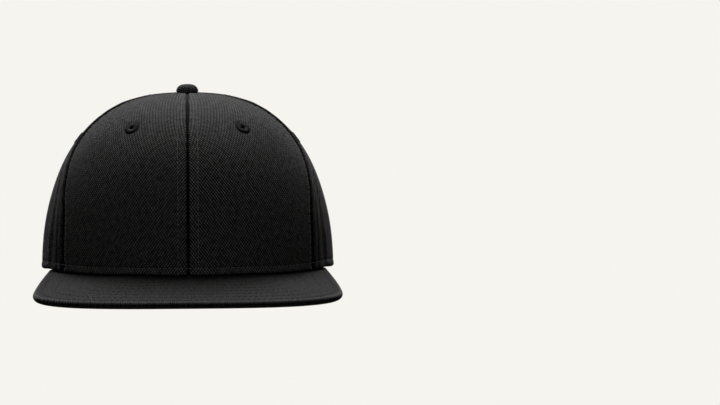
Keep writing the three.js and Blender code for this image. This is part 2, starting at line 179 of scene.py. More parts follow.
# Places of the eyelets
EYELETS = {
    "front": {"angle": 33.5, "share": 0.82},
    "side": {"angle": 87, "share": 0.745},
    "back": {"angle": 140, "share": 0.73},
}

# Rows of stitches round the opening: distance from its edge, and how far each draws the cloth down
ARCH_ROWS = [
    {"offset": 2.0, "sink": 0.22},
    {"offset": 7.5, "sink": 0.3},
]

# Painted shade and painted highlights on the cloth: how far each lies from its seam, edge or row, how strong
# it is and how wide
# Painted shade along the hem's turned edge and along its row of stitches
HEM_PAINTED_SHADES = [
    {"place": 0, "strength": 0.9, "width": 0.45},
    {"place": HEM_STITCH, "strength": 0.45, "width": 0.4},
]
# Painted shade along each row of topstitching
STITCH_PAINTED_SHADE = {"place": 0, "strength": 0.35, "width": 0.35}
# The welt's edge: it gives both the edge's depth and the painted shade along it
WELT_EDGE = {"place": 0.3, "strength": 1, "width": 0.7}
# Painted shade along the welt's edge and in the valleys beside it
WELT_PAINTED_SHADES = [
    WELT_EDGE,
    {"place": 3.6, "strength": 0.75, "width": 1.9},
    {"place": -2.7, "strength": 0.55, "width": 1.3},
]
# Painted highlights along the welt's ridges and along a soft ridge further back on the side panel
WELT_PAINTED_HIGHLIGHTS = [
    {"place": -0.9, "strength": 2.5, "width": 0.5},
    {"place": 1.3, "strength": 1.6, "width": 0.4},
    {"place": 10, "strength": 0.5, "width": 3},
]
# Painted highlight along the opening's folded edge
OPENING_EDGE_PAINTED_HIGHLIGHT = {"place": 0.5, "strength": 0.5, "width": 0.7}
# Painted shade along the brim's rows of stitches, darkest at the first row
BRIM_FIRST_ROW_PAINTED_SHADE = {"place": 0, "strength": 0.6, "width": 0.5}
BRIM_ROW_PAINTED_SHADE = {"place": 0, "strength": 0.12, "width": 0.5}

# Painted shade along the middle of the brim's edge and a painted highlight on its rounding, by degrees above
# or below its middle
RIM_PAINTED_SHADE = {"place": 0, "strength": 0.55, "width": 22}
RIM_PAINTED_HIGHLIGHT = {"place": 52, "strength": 14, "width": 24}

# Shallow shapes of the cloth, each with its depth as its strength
SIDE_FOLDS = [
    {"place": -1.5, "strength": 0.7, "width": 2.2},
    {"place": 2.5, "strength": -0.85, "width": 1.3},
]
OPENING_LINE = {"place": 0.6, "strength": 0.5, "width": 1.3}
OPENING_HOLLOW = {"place": 8, "strength": 0.8, "width": 6}

# Seams of each panel, how far its topstitching lies from them, how high the cloth rises between, how
# wide the painted shade of the seam's dark line is on this side of it, and how uneven the cloth is
PANELS = {
    "front": {
        "seams": ("front_centre", "front_seam"), "stitch": (CENTRE_STITCH, SIDE_STITCH),
        "rise": (0.22, 0.16), "line": (0.75, 1.9), "uneven": 0.12},
    "side": {
        "seams": ("front_seam", "back_seam"), "stitch": (WELT_STITCH, SIDE_STITCH),
        "rise": (0.8, 0.22), "line": (1.4, 0.9), "uneven": 0.35},
    "back": {
        "seams": ("back_seam", "back_centre"), "stitch": (SIDE_STITCH, CENTRE_STITCH),
        "rise": (0.22, 0.26), "line": (0.9, 0.75), "uneven": 0.3},
}


# Shape of the crown

def read_table(rows, key, column, place):
    """Smooth value of a column between its rows, never past the rows beside it."""
    keys = np.array(rows[key], float)
    values = np.array(rows[column], float)
    rises = np.diff(values) / np.diff(keys)
    slopes = np.zeros(len(keys))
    for i in range(1, len(keys) - 1):
        if rises[i - 1] * rises[i] > 0:
            slopes[i] = 2 / (1 / rises[i - 1] + 1 / rises[i])
    inside = np.clip(place, keys[0], keys[-1])
    low = np.clip(np.searchsorted(keys, inside, side="left") - 1, 0, len(keys) - 2)
    step = keys[low + 1] - keys[low]
    share = (inside - keys[low]) / step
    square, cube = share ** 2, share ** 3
    return (
        (2 * cube - 3 * square + 1) * values[low]
        + (cube - 2 * square + share) * step * slopes[low]
        + (3 * square - 2 * cube) * values[low + 1]
        + (cube - square) * step * slopes[low + 1]
    )


def hem_height(angle):
    return HEM_IN_FRONT * read_table(HEM_ROWS, "angle", "height", np.abs(np.degrees(angle)))


def plan_point(angle):
    """Point of the hem's outline in plan, as x and y."""
    length = np.where(np.cos(angle) > 0, CROWN_FRONT, CROWN_BACK)
    width = CROWN_HALF_WIDTH * (1 - CROWN_FLARE * np.cos(angle))
    return width * np.sin(angle), -length * np.cos(angle)


def fullness(angle, column):
    facing = np.cos(angle) ** 2
    end = np.where(np.cos(angle) > 0, PROFILE["front"][column], PROFILE["back"][column])
    return end * facing + PROFILE["side"][column] * (1 - facing)


def reach_share(angle, share):
    level = 1 - np.minimum(np.abs(share), 1) ** fullness(angle, "rise")
    return np.maximum(level, 0) ** (1 / fullness(angle, "reach"))


def round_rate(angle, share):
    """Length along the crown for each radian at a share of its height."""
    length = np.where(np.cos(angle) > 0, CROWN_FRONT, CROWN_BACK)
    return np.hypot(CROWN_HALF_WIDTH * np.cos(angle), length * np.sin(angle)) * reach_share(angle, share)


def surface_point(angle, share):
    across, forward = plan_point(angle)
    reach = reach_share(angle, share)
    hem = hem_height(angle)
    height = hem + (CROWN_HEIGHT - hem) * share
    return np.stack(np.broadcast_arrays(across * reach, forward * reach, height), -1)


def surface_normal(angle, share):
    step = 0.004
    around = surface_point(angle + step, share) - surface_point(angle - step, share)
    upward = surface_point(angle, np.minimum(share + step, 1)) - surface_point(angle, share - step)
    normal = np.cross(around, upward)
    return normal / np.linalg.norm(normal, axis=-1, keepdims=True)


def crown_point(angle, share, depth):
    """Point of the crown's shape sunk by a depth below its outer surface."""
    return surface_point(angle, share) - surface_normal(angle, share) * np.asarray(depth)[..., None]


def share_at_height(angle, height):
    hem = hem_height(angle)
    return (height - hem) / (CROWN_HEIGHT - hem)


def share_at_radius(angle, radius):
    reach = radius / np.hypot(*plan_point(angle))
    return (1 - reach ** fullness(angle, "reach")) ** (1 / fullness(angle, "rise"))


def seam_angle(seam, share):
    if seam == "front_centre":
        return np.zeros_like(share)
    if seam == "back_centre":
        return np.full_like(share, math.pi)
    return np.radians(read_table(SEAM_ROWS, "share", seam, share))


def bump(distance, width):
    """Bell curve, 1 at no distance."""
    return np.exp(-((distance / width) ** 2))


def marked(distance, mark):
    """Strength of one mark at a distance from what it is measured from."""
    return mark["strength"] * bump(distance - mark["place"], mark["width"])


def dent_depth(angle, share):
    depth = 0
    for dent in DENTS:
        around = (np.abs(np.degrees(angle)) - dent["angle"]) / dent["round"]
        upward = (share - dent["share"]) / dent["up"]
        depth = depth + DEEPEST_DENT * dent["depth"] * np.exp(-(around ** 2) - upward ** 2)
    return depth


def arch_distance(x, z):
    """Distance outside the opening's edge, less than 0 within it."""
    rise = np.maximum(z - ARCH_SPRING, 0)
    level = (x / ARCH_HALF_WIDTH) ** 2 + (rise / ARCH_RISE) ** 2 - 1
    slope = 2 * np.hypot(x / ARCH_HALF_WIDTH ** 2, rise / ARCH_RISE ** 2)
    return np.where(z > ARCH_SPRING, level / np.maximum(slope, 1e-6), np.abs(x) - ARCH_HALF_WIDTH)


def cloth_waves(angle, share, seed, length, depth):
    """Gentle unevenness of cloth, made of a few waves with fixed directions."""
    draw = np.random.default_rng(seed)
    around = angle * CROWN_HALF_WIDTH
    upward = share * CROWN_HEIGHT
    waves = 7
    total = 0
    for _ in range(waves):
        turn, phase, size = draw.uniform(0, math.pi), draw.uniform(0, 2 * math.pi), draw.uniform(0.7, 1.6)
        along = around * math.cos(turn) + upward * math.sin(turn)
        total = total + np.sin(along * 2 * math.pi / (length * size) + phase)
    return depth * total / waves


# Relief of sewn cloth on each panel: how the seams, rows of stitches and folds shape it

def seam_relief(distance, along, stitch, rise):
    """Depth beside a seam: the edge turns in, the cloth rises to its stitches and they pull it down."""
    turned_in = SEAM_DEPTH * bump(distance, SEAM_WIDTH) + SEAM_SLOPE_DEPTH * bump(distance, SEAM_SLOPE_WIDTH)
    inside = np.clip(distance / stitch, 0, 1)
    raised = rise * np.sin(math.pi * inside) ** ROLL_POWER * (distance < stitch)
    near_stitches = bump(distance - stitch * 0.75, stitch * 0.6)
    pucker = PUCKER_DEPTH * np.sin(2 * math.pi * along / PUCKER_LENGTH) * near_stitches
    groove = STITCH_GROOVE * bump(distance - stitch, GROOVE_WIDTH)
    return turned_in - raised - pucker + groove


def hem_relief(upward):
    """Depth near the hem: its edge turns in, the cloth rises and a row of stitches draws it down."""
    turned_in = HEM_TURN * bump(upward, GROOVE_WIDTH)
    groove = HEM_GROOVE * bump(upward - HEM_STITCH, GROOVE_WIDTH)
    inside = np.clip(upward / HEM_STITCH, 0, 1)
    return turned_in + groove - HEM_RISE * np.sin(math.pi * inside) ** ROLL_POWER * (upward < HEM_STITCH)


def side_relief(from_front_seam, angle, share):
    """Depth of the welt's edge and of the soft folds low on a side panel."""
    top_turn, foot_turn = math.radians(7.5), math.radians(5.5)
    low_share, low_reach = 0.2, 0.36
    edge = WELT_EDGE_DEPTH * marked(from_front_seam - WELT_STITCH, WELT_EDGE)
    valley = top_turn + foot_turn * (1 - share) ** 2
    fold = from_front_seam - valley * round_rate(angle, share)
    return edge + bump(share - low_share, low_reach) * sum(marked(fold, row) for row in SIDE_FOLDS)


def opening_relief(angle, share):
    """Depth round the opening: a line beside its hem, and a soft hollow outside its upper corners."""
    corner_x, corner_z = 34, 44
    reach_x, reach_z = 14, 13
    x, _, z = np.moveaxis(surface_point(angle, share), -1, 0)
    outside = arch_distance(x, z) - ARCH_BAND
    at_corner = bump(z - corner_z, reach_z) * bump(np.abs(x) - corner_x, reach_x)
    return marked(outside, OPENING_LINE) + marked(outside, OPENING_HOLLOW) * at_corner


def eyelet_dimple(panel, angle, share):
    """Depth to which the cloth is drawn down under its eyelet."""
    place = EYELETS[panel]
    centre = surface_point(np.radians(place["angle"]), np.float64(place["share"]))
    away = np.linalg.norm(surface_point(angle, share) - centre, axis=-1)
    inside = np.clip((EYELET_DIAMETER / 2 + EYELET_SLOPE - away) / EYELET_SLOPE, 0, 1)
    return (EYELET_SINK + EYELET_CLEARANCE) * inside


def seam_distances(panel, angle, share):
    """Distances from a panel's first seam, its second seam and its hem."""
    first, second = PANELS[panel]["seams"]
    rate = round_rate(angle, share)
    upward = share * (CROWN_HEIGHT - hem_height(angle))
    return (angle - seam_angle(first, share)) * rate, (seam_angle(second, share) - angle) * rate, upward


def cloth_painted_light(panel, angle, share):
    """Painted shade in seams, along rows of stitches and in folds, and painted highlights on the hem's roll,
    the padded cloth beside each seam and the welt's ridges.
    """
    hem_painted_highlight, hem_margin, hem_fade = 0.5, 0.3, 0.5
    padded_painted_highlight, padded_fade = 0.2, 0.6
    facts = PANELS[panel]
    from_first, from_second, upward = seam_distances(panel, angle, share)
    # Painted shade along the hem's edge and its stitches
    painted_shades = [marked(upward, row) for row in HEM_PAINTED_SHADES]
    above_edge = np.clip(upward - hem_fade, 0, 1)
    below_stitches = np.clip((HEM_STITCH - hem_margin - upward) / hem_fade, 0, 1)
    # Painted highlight on the rolled hem below its stitches
    painted_highlights = [hem_painted_highlight * below_stitches * above_edge]
    for distance, stitch, line in zip((from_first, from_second), facts["stitch"], facts["line"]):
        # Painted shade in the seam's dark line and along its stitches, and a painted highlight on the padded
        # cloth between
        painted_shades.append(np.minimum(SEAM_PAINTED_SHADE * bump(distance, line), 1))
        painted_shades.append(marked(distance - stitch, STITCH_PAINTED_SHADE))
        painted_highlights.append(padded_painted_highlight * np.clip((stitch - distance) / padded_fade, 0, 1))
    if panel == "side":
        # Painted shade beside the welt and painted highlights on its ridges
        painted_shades += [marked(from_first - WELT_STITCH, row) for row in WELT_PAINTED_SHADES]
        painted_highlights += [marked(from_first - WELT_STITCH, row) for row in WELT_PAINTED_HIGHLIGHTS]
    return np.stack([np.max(painted_shades, axis=0), np.max(painted_highlights, axis=0)], -1).reshape(-1, 2)


def panel_relief(panel, angle, share):
    """Depth of a panel's outer surface below the crown's plain shape, gentler beside the button."""
    button_reach, least_relief = 0.06, 0.35
    facts = PANELS[panel]
    from_first, from_second, upward = seam_distances(panel, angle, share)
    depth = dent_depth(angle, share)
    fade = np.clip((1 - share) / button_reach, 0, 1)
    kept = least_relief + (1 - least_relief) * fade
    for distance, stitch, rise in zip((from_first, from_second), facts["stitch"], facts["rise"]):
        depth = depth + seam_relief(distance, upward, stitch, rise) * kept
    depth = depth + hem_relief(upward) + eyelet_dimple(panel, angle, share)
    depth = depth - cloth_waves(angle, share, len(panel), CLOTH_WAVE_LENGTH, facts["uneven"]) * fade
    if panel == "side":
        depth = depth + side_relief(from_first, angle, share)
    if panel == "back":
        depth = depth + opening_relief(angle, share)
    return depth


# Meshes and objects

def new_object(name, mesh):
    obj = bpy.data.objects.new(name, mesh)
    bpy.context.scene.collection.objects.link(obj)
    return obj


def mesh_from(name, points, faces, weave=None, marks=None):
    """Mesh from points in millimetres in the crown's own frame.

    The weave map holds millimetres of cloth. The second map holds painted shade in seams, grooves and
    folds, and painted highlights on rolled and raised cloth.
    """
    mesh = bpy.data.meshes.new(name)
    mesh.from_pydata((np.asarray(points, float) * MM).tolist(), [], [list(map(int, f)) for f in faces])
    corners = np.zeros(len(mesh.loops), np.int32)
    mesh.loops.foreach_get("vertex_index", corners)
    for label, values in {"weave": weave, "marks": marks}.items():
        if values is not None:
            layer = mesh.uv_layers.new(name=label)
            layer.data.foreach_set("uv", np.asarray(values, np.float32)[corners].ravel())
    mesh.update()
    return mesh


def grid_faces(rows, columns, start=0, around=False):
    """Quads of a grid of points, closed round its columns if asked."""
    faces = []
    for row in range(rows - 1):
        for column in range(columns if around else columns - 1):
            after = (column + 1) % columns
            a, b = start + row * columns + column, start + row * columns + after
            faces.append((a, b, b + columns, a + columns))
    return faces


def shell_faces(rows, columns):
    """Quads of two matching grids, joined along their four borders."""
    size = rows * columns
    faces = grid_faces(rows, columns)
    faces += [tuple(i + size for i in reversed(face)) for face in grid_faces(rows, columns)]
    rim = list(range(columns))
    rim += [row * columns + columns - 1 for row in range(1, rows)]
    rim += [size - 1 - step for step in range(1, columns)]
    rim += [row * columns for row in range(rows - 2, 0, -1)]
    for a, b in zip(rim, rim[1:] + rim[:1]):
        faces.append((b, a, a + size, b + size))
    return faces


def settle(obj):
    """Turns the result of an object's modifiers into its mesh."""
    bpy.context.view_layer.update()
    depsgraph = bpy.context.evaluated_depsgraph_get()
    mesh = bpy.data.meshes.new_from_object(obj.evaluated_get(depsgraph))
    obj.modifiers.clear()
    obj.data = mesh
    return obj


def carve(obj, tools):
    """Takes tool shapes out of an object, then removes the tools."""
    for tool in tools:
        cut = obj.modifiers.new("cut", "BOOLEAN")
        cut.operation = "DIFFERENCE"
        cut.solver = "EXACT"
        cut.object = tool
    settle(obj)
    for tool in tools:
        bpy.data.objects.remove(tool)
    return obj


def face_outwards(mesh):
    work = bmesh.new()
    work.from_mesh(mesh)
    bmesh.ops.remove_doubles(work, verts=work.verts, dist=0.002 * MM)
    bmesh.ops.recalc_face_normals(work, faces=work.faces)
    work.to_mesh(mesh)
    work.free()


def smooth(mesh, sharp_degrees=42):
    mesh.shade_smooth()
    mesh.set_sharp_from_angle(angle=math.radians(sharp_degrees))


def put_in_frame(mesh):
    mesh.transform(Matrix.Translation((0, CROWN_MIDDLE_Y * MM, 0)))


def finish_piece(obj, material, slot, *nodes):
    """Puts a finished piece on the cap: its material, its body and the solids that it stands for."""
    obj.data.materials.clear()
    obj.data.materials.append(material)
    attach(obj, "root")
    if nodes:
        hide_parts(*nodes)
    return obj


def mirror_copy(obj, name):
    mesh = obj.data.copy()
    mesh.transform(Matrix.Scale(-1, 4, (1, 0, 0)))
    mesh.flip_normals()
    mesh.name = name
    return new_object(name, mesh)


def bar_tool(angle, share, diameter, length):
    """Round bar through the crown, to cut an eyelet's hole."""
    mesh = bpy.data.meshes.new("bar")
    work = bmesh.new()
    radius = diameter / 2 * MM
    bmesh.ops.create_cone(
        work, cap_ends=True, segments=32, radius1=radius, radius2=radius, depth=length * MM)
    work.to_mesh(mesh)
    work.free()
    mesh.transform(standing_on_crown(angle, share))
    return new_object("bar", mesh)


def standing_on_crown(angle, share, depth=0.0):
    """Matrix that takes +Z to the crown's normal and the origin to a point of the crown."""
    place = Vector(crown_point(np.float64(angle), np.float64(share), np.float64(depth))) * MM
    normal = Vector(surface_normal(np.float64(angle), np.float64(share)))
    return Matrix.Translation(place) @ normal.to_track_quat("Z", "Y").to_matrix().to_4x4()


def prism_along_y(outline, name):
    """Closed prism through the back of the crown, from an outline in x and z."""
    count = len(outline)
    points = [(x, CROWN_BACK * level, z) for level in (0.5, 1.5) for x, z in outline]
    faces = [tuple(range(count)), tuple(range(2 * count - 1, count - 1, -1))]
    faces += [(i, i + count, (i + 1) % count + count, (i + 1) % count) for i in range(count)]
    mesh = mesh_from(name, points, faces)
    face_outwards(mesh)
    return new_object(name, mesh)


def arch_outline(offset, steps=48):
    """Edge of the opening from its right foot over the top to its left foot, moved outward."""
    outline = [(ARCH_HALF_WIDTH + offset, height) for height in (0, 8, 16)]
    for turn in np.linspace(0, math.pi, steps + 1):
        across, up = math.cos(turn), math.sin(turn)
        tilt = math.hypot(ARCH_RISE * across, ARCH_HALF_WIDTH * up)
        x = ARCH_HALF_WIDTH * across + offset * ARCH_RISE * across / tilt
        z = ARCH_SPRING + ARCH_RISE * up + offset * ARCH_HALF_WIDTH * up / tilt
        outline.append((x, z))
    outline += [(-ARCH_HALF_WIDTH - offset, height) for height in (16, 8, 0)]
    return np.array(outline)


def angle_behind(x, z):
    """Angle and share of the point on the back of the crown with this x and z."""
    share = z / CROWN_HEIGHT
    angle = math.pi - np.arcsin(np.clip(x / CROWN_HALF_WIDTH, -1, 1))
    for _ in range(8):
        width = CROWN_HALF_WIDTH * (1 - CROWN_FLARE * np.cos(angle)) * reach_share(angle, share)
        angle = math.pi - np.arcsin(np.clip(x / width, -1, 1))
    return angle, share


def back_angle(distance):
    return math.pi - distance / CROWN_HALF_WIDTH


# Nodes and materials

def add_node(tree, kind, settings=None, **inputs):
    """Adds a node with its settings, and sets or links its inputs, named with _ for a space."""
    node = tree.nodes.new(kind)
    for name, value in (settings or {}).items():
        setattr(node, name, value)
    for name, value in inputs.items():
        socket = node.inputs[int(name[1:]) if name[1:].isdigit() else name.replace("_", " ")]
        if isinstance(value, bpy.types.NodeSocket):
            tree.links.new(value, socket)
        else:
            socket.default_value = value
    return node


def linear(hex_colour):
    """Linear colour from an sRGB hex value."""
    parts = [int(hex_colour[i:i + 2], 16) / 255 for i in (0, 2, 4)]
    return [c / 12.92 if c <= 0.04045 else ((c + 0.055) / 1.055) ** 2.4 for c in parts] + [1.0]


def new_material(name):
    material = bpy.data.materials.new(name)
    material.use_nodes = True
    material.node_tree.nodes.clear()
    return material, material.node_tree


def close_material(tree, shader):
    add_node(tree, "ShaderNodeOutputMaterial", Surface=shader.outputs[0])


def mix_colours(tree, factor, first, second):
    mix = add_node(tree, "ShaderNodeMix", {"data_type": "RGBA"})
    for socket, value in ((0, factor), (6, first), (7, second)):
        if isinstance(value, bpy.types.NodeSocket):
            tree.links.new(value, mix.inputs[socket])
        else:
            mix.inputs[socket].default_value = value
    return mix.outputs[2]


def calculate(tree, operation, first, second, third=0.0):
    return add_node(
        tree, "ShaderNodeMath", {"operation": operation}, _0=first, _1=second, _2=third).outputs[0]


WAVE_PERIOD = math.pi / 10  # length of one wave of the Wave Texture at scale 1


def twill_material(name, valley, crest, wale, slant, uneven, depth):
    """Cotton-polyester twill: matt slanted ribs of yarn, with black painted shade in folds and paler painted
    highlights on rolls.
    """
    material, tree = new_material(name)
    weave = add_node(tree, "ShaderNodeUVMap", {"uv_map": "weave"}).outputs[0]
    turned = add_node(
        tree, "ShaderNodeMapping", Vector=weave, Rotation=(0, 0, math.radians(slant - 90))).outputs[0]
    ribs = add_node(
        tree, "ShaderNodeTexWave", Vector=turned, Scale=WAVE_PERIOD / wale, Distortion=0.25, Detail=2.0,
        Detail_Scale=1.2).outputs["Fac"]
    yarn_length = wale * 1.25  # real yarns cross the ribs closer, drawn coarser so that they show
    across = add_node(tree, "ShaderNodeMapping", Vector=turned, Rotation=(0, 0, math.radians(68))).outputs[0]
    yarns = add_node(
        tree, "ShaderNodeTexWave", Vector=across, Scale=WAVE_PERIOD / yarn_length, Distortion=0.8,
        Detail=1.0).outputs["Fac"]
    crests = calculate(tree, "POWER", ribs, 3.0)
    height = calculate(tree, "MULTIPLY", crests, calculate(tree, "MULTIPLY_ADD", yarns, 0.8, 0.2))
    along = add_node(
        tree, "ShaderNodeMapping", Vector=turned, Scale=(0.9 / wale, 0.35 / wale, 1.0)).outputs[0]
    slubs = add_node(
        tree, "ShaderNodeTexNoise", {"noise_dimensions": "2D"}, Vector=along, Scale=1.0, Detail=2.0,
        Roughness=0.6).outputs["Fac"]
    thickness = add_node(
        tree, "ShaderNodeMapRange", Value=slubs, From_Min=0.3, From_Max=0.7, To_Min=1 - uneven,
        To_Max=1 + uneven).outputs[0]
    place = add_node(tree, "ShaderNodeTexCoord").outputs["Object"]
    lint = add_node(
        tree, "ShaderNodeTexNoise", Vector=place, Scale=700.0, Detail=3.0, Roughness=0.7).outputs["Fac"]
    # Painted light map: its first value is painted shade, its second painted highlight
    marks = add_node(tree, "ShaderNodeUVMap", {"uv_map": "marks"}).outputs[0]
    marks = add_node(tree, "ShaderNodeSeparateXYZ", Vector=marks)
    fold, painted_highlights = marks.outputs["X"], marks.outputs["Y"]
    napped = calculate(tree, "MULTIPLY_ADD", lint, 0.08, calculate(tree, "MULTIPLY", height, 0.92))
    shade = calculate(tree, "MULTIPLY", napped, thickness)
    # Painted highlight: the yarn grows paler by the map's second value
    shade = calculate(tree, "MULTIPLY_ADD", shade, painted_highlights, shade)
    open_colour = mix_colours(tree, shade, linear(valley), linear(crest))
    # Painted shade: near-black mixed in by the map's first value
    colour = mix_colours(tree, fold, open_colour, linear("010101"))
    height = calculate(tree, "MULTIPLY", height, calculate(tree, "SUBTRACT", 1.0, fold))
    relief = add_node(tree, "ShaderNodeBump", Strength=0.8, Distance=depth * MM, Height=height).outputs[0]
    shader = add_node(
        tree, "ShaderNodeBsdfPrincipled", Base_Color=colour, Roughness=0.75, Normal=relief, IOR=1.5)
    shader.inputs["Specular IOR Level"].default_value = 0.1
    close_material(tree, shader)
    return material


def thread_material(name, shade, pitch):
    """Polyester sewing thread: smooth twisted strands with a soft gloss along them."""
    material, tree = new_material(name)
    place = add_node(tree, "ShaderNodeTexCoord").outputs["Object"]
    metres = pitch * MM
    twist = add_node(
        tree, "ShaderNodeTexWave", {"bands_direction": "DIAGONAL"}, Vector=place,
        Scale=WAVE_PERIOD / metres, Distortion=0.6, Detail=1.0).outputs["Fac"]
    colour = mix_colours(tree, twist, linear(shade[0]), linear(shade[1]))
    relief = add_node(tree, "ShaderNodeBump", Strength=0.4, Distance=0.06 * MM, Height=twist).outputs[0]
    shader = add_node(
        tree, "ShaderNodeBsdfPrincipled", Base_Color=colour, Roughness=0.6, Normal=relief, IOR=1.5)
    shader.inputs["Specular IOR Level"].default_value = 0.2
    close_material(tree, shader)
    return material


def band_material():
    """Plain cotton band: a fine square weave, fully matt."""
    material, tree = new_material("cotton_band_weave")
    weave = add_node(tree, "ShaderNodeUVMap", {"uv_map": "weave"}).outputs[0]
    spacing = 0.9  # real threads are 0.3 mm apart, drawn coarser so that they show
    warp = add_node(tree, "ShaderNodeTexWave", Vector=weave, Scale=WAVE_PERIOD / spacing).outputs["Fac"]
    weft = add_node(
        tree, "ShaderNodeTexWave", {"bands_direction": "Y"}, Vector=weave,
        Scale=WAVE_PERIOD / spacing).outputs["Fac"]
    height = calculate(tree, "MULTIPLY", warp, weft)
    colour = mix_colours(tree, height, linear("101010"), linear("222221"))
    relief = add_node(tree, "ShaderNodeBump", Strength=0.4, Distance=0.12 * MM, Height=height).outputs[0]
    shader = add_node(tree, "ShaderNodeBsdfPrincipled", Base_Color=colour, Roughness=0.95, Normal=relief)
    shader.inputs["Sheen Weight"].default_value = 0.1
    close_material(tree, shader)
    return material


def plastic_material():
    """Injection-moulded polyethylene: satin, with a fine spark-eroded grain and soft patches that are a
    little paler and rougher.
    """
    material, tree = new_material("satin_moulded_polyethylene")
    place = add_node(tree, "ShaderNodeTexCoord").outputs["Object"]
    grain = add_node(tree, "ShaderNodeTexNoise", Vector=place, Scale=2600.0, Detail=3.0).outputs["Fac"]
    cloud = add_node(tree, "ShaderNodeTexNoise", Vector=place, Scale=90.0, Detail=3.0).outputs["Fac"]
    colour = mix_colours(tree, cloud, linear("1b1b1b"), linear("252524"))
    rough = add_node(
        tree, "ShaderNodeMapRange", Value=cloud, To_Min=0.36, To_Max=0.5).outputs[0]
    relief = add_node(tree, "ShaderNodeBump", Strength=0.15, Distance=0.03 * MM, Height=grain).outputs[0]
    shader = add_node(
        tree, "ShaderNodeBsdfPrincipled", Base_Color=colour, Roughness=rough, Normal=relief, IOR=1.5)
    close_material(tree, shader)
    return material


def floor_material():
    """Pale studio paper that glows evenly, with a painted contact shadow where something stands on it."""
    material, tree = new_material("studio_paper")
    # Painted contact shadow: the glow dims towards grey 8c8a86 where ambient occlusion finds something close
    # by
    clear = add_node(tree, "ShaderNodeAmbientOcclusion", {"samples": 8}, Distance=0.05).outputs["AO"]
    light = add_node(
        tree, "ShaderNodeMapRange", Value=clear, From_Min=0.2, From_Max=0.97, To_Min=0.0).outputs[0]
    colour = mix_colours(tree, light, linear("8c8a86"), linear("f6f4ef"))
    close_material(tree, add_node(tree, "ShaderNodeEmission", Color=colour, Strength=1.0))
    return material


# Geometry Nodes: what repeats along a path, round a ring or along a line

def new_tree(name, inputs):
    """Tree with a geometry input and output and named inputs; gives the tree and its two end nodes."""
    tree = bpy.data.node_groups.new(name, "GeometryNodeTree")
    tree.interface.new_socket("Geometry", in_out="OUTPUT", socket_type="NodeSocketGeometry")
    tree.interface.new_socket("Geometry", in_out="INPUT", socket_type="NodeSocketGeometry")
    for label, kind in inputs.items():
        tree.interface.new_socket(label, in_out="INPUT", socket_type=kind)
    return tree, tree.nodes.new("NodeGroupInput"), tree.nodes.new("NodeGroupOutput")


def end_tree(tree, source, sink, geometry):
    real = add_node(tree, "GeometryNodeRealizeInstances", Geometry=geometry).outputs[0]
    done = add_node(tree, "GeometryNodeSetMaterial", Geometry=real, Material=source.outputs["Material"])
    tree.links.new(done.outputs[0], sink.inputs[0])
    return tree


def stitch_tree():
    """Stitches one after another along a path, flat side towards the cloth."""
    tree, source, sink = new_tree("stitches_along_path", {
        "Pitch": "NodeSocketFloat", "Stitch": "NodeSocketObject", "Material": "NodeSocketMaterial"})
    path = add_node(tree, "GeometryNodeMeshToCurve", Mesh=source.outputs["Geometry"]).outputs[0]
    places = add_node(
        tree, "GeometryNodeResampleCurve", {"mode": "LENGTH"}, Curve=path, Length=source.outputs["Pitch"])
    along = add_node(tree, "GeometryNodeInputTangent").outputs[0]
    away = add_node(tree, "GeometryNodeInputNamedAttribute", {"data_type": "FLOAT_VECTOR"}, Name="away")
    turned = add_node(
        tree, "FunctionNodeAlignRotationToVector", {"axis": "X"}, Vector=along).outputs[0]
    faced = add_node(
        tree, "FunctionNodeAlignRotationToVector", {"axis": "Z", "pivot_axis": "X"}, Rotation=turned,
        Vector=away.outputs[0]).outputs[0]
    stitch = add_node(tree, "GeometryNodeObjectInfo", Object=source.outputs["Stitch"]).outputs["Geometry"]
    row = add_node(
        tree, "GeometryNodeInstanceOnPoints", Points=places.outputs[0], Instance=stitch, Rotation=faced)
    return end_tree(tree, source, sink, row.outputs[0])


def thread_ring_tree():
    """Threads laid side by side round a hole, over a padded ring."""
    tree, source, sink = new_tree("threads_round_hole", {
        "Count": "NodeSocketInt", "Hole radius": "NodeSocketFloat", "Thread": "NodeSocketObject",
        "Material": "NodeSocketMaterial"})
    count, radius = source.outputs["Count"], source.outputs["Hole radius"]
    ring = add_node(tree, "GeometryNodeMeshCircle", Vertices=count, Radius=radius)
    outward = add_node(tree, "GeometryNodeInputPosition").outputs[0]
    turned = add_node(
        tree, "FunctionNodeAlignRotationToVector", {"axis": "X", "pivot_axis": "Z"},
        Vector=outward).outputs[0]
    thread = add_node(tree, "GeometryNodeObjectInfo", Object=source.outputs["Thread"]).outputs["Geometry"]
    threads = add_node(
        tree, "GeometryNodeInstanceOnPoints", Points=ring.outputs[0], Instance=thread, Rotation=turned)
    joined = add_node(tree, "GeometryNodeJoinGeometry", Geometry=threads.outputs[0])
    tree.links.new(source.outputs["Geometry"], joined.inputs[0])
    return end_tree(tree, source, sink, joined.outputs[0])


def peg_row_tree():
    """Pegs in a straight row on the strap that carries them."""
    tree, source, sink = new_tree("row_of_pegs", {
        "Count": "NodeSocketInt", "Start": "NodeSocketVector", "Step": "NodeSocketVector",
        "Peg": "NodeSocketObject", "Material": "NodeSocketMaterial"})
    row = add_node(
        tree, "GeometryNodeMeshLine", Count=source.outputs["Count"], Start_Location=source.outputs["Start"],
        Offset=source.outputs["Step"])
    peg = add_node(tree, "GeometryNodeObjectInfo", Object=source.outputs["Peg"]).outputs["Geometry"]
    pegs = add_node(tree, "GeometryNodeInstanceOnPoints", Points=row.outputs[0], Instance=peg)
    joined = add_node(tree, "GeometryNodeJoinGeometry", Geometry=pegs.outputs[0])
    tree.links.new(source.outputs["Geometry"], joined.inputs[0])
    return end_tree(tree, source, sink, joined.outputs[0])


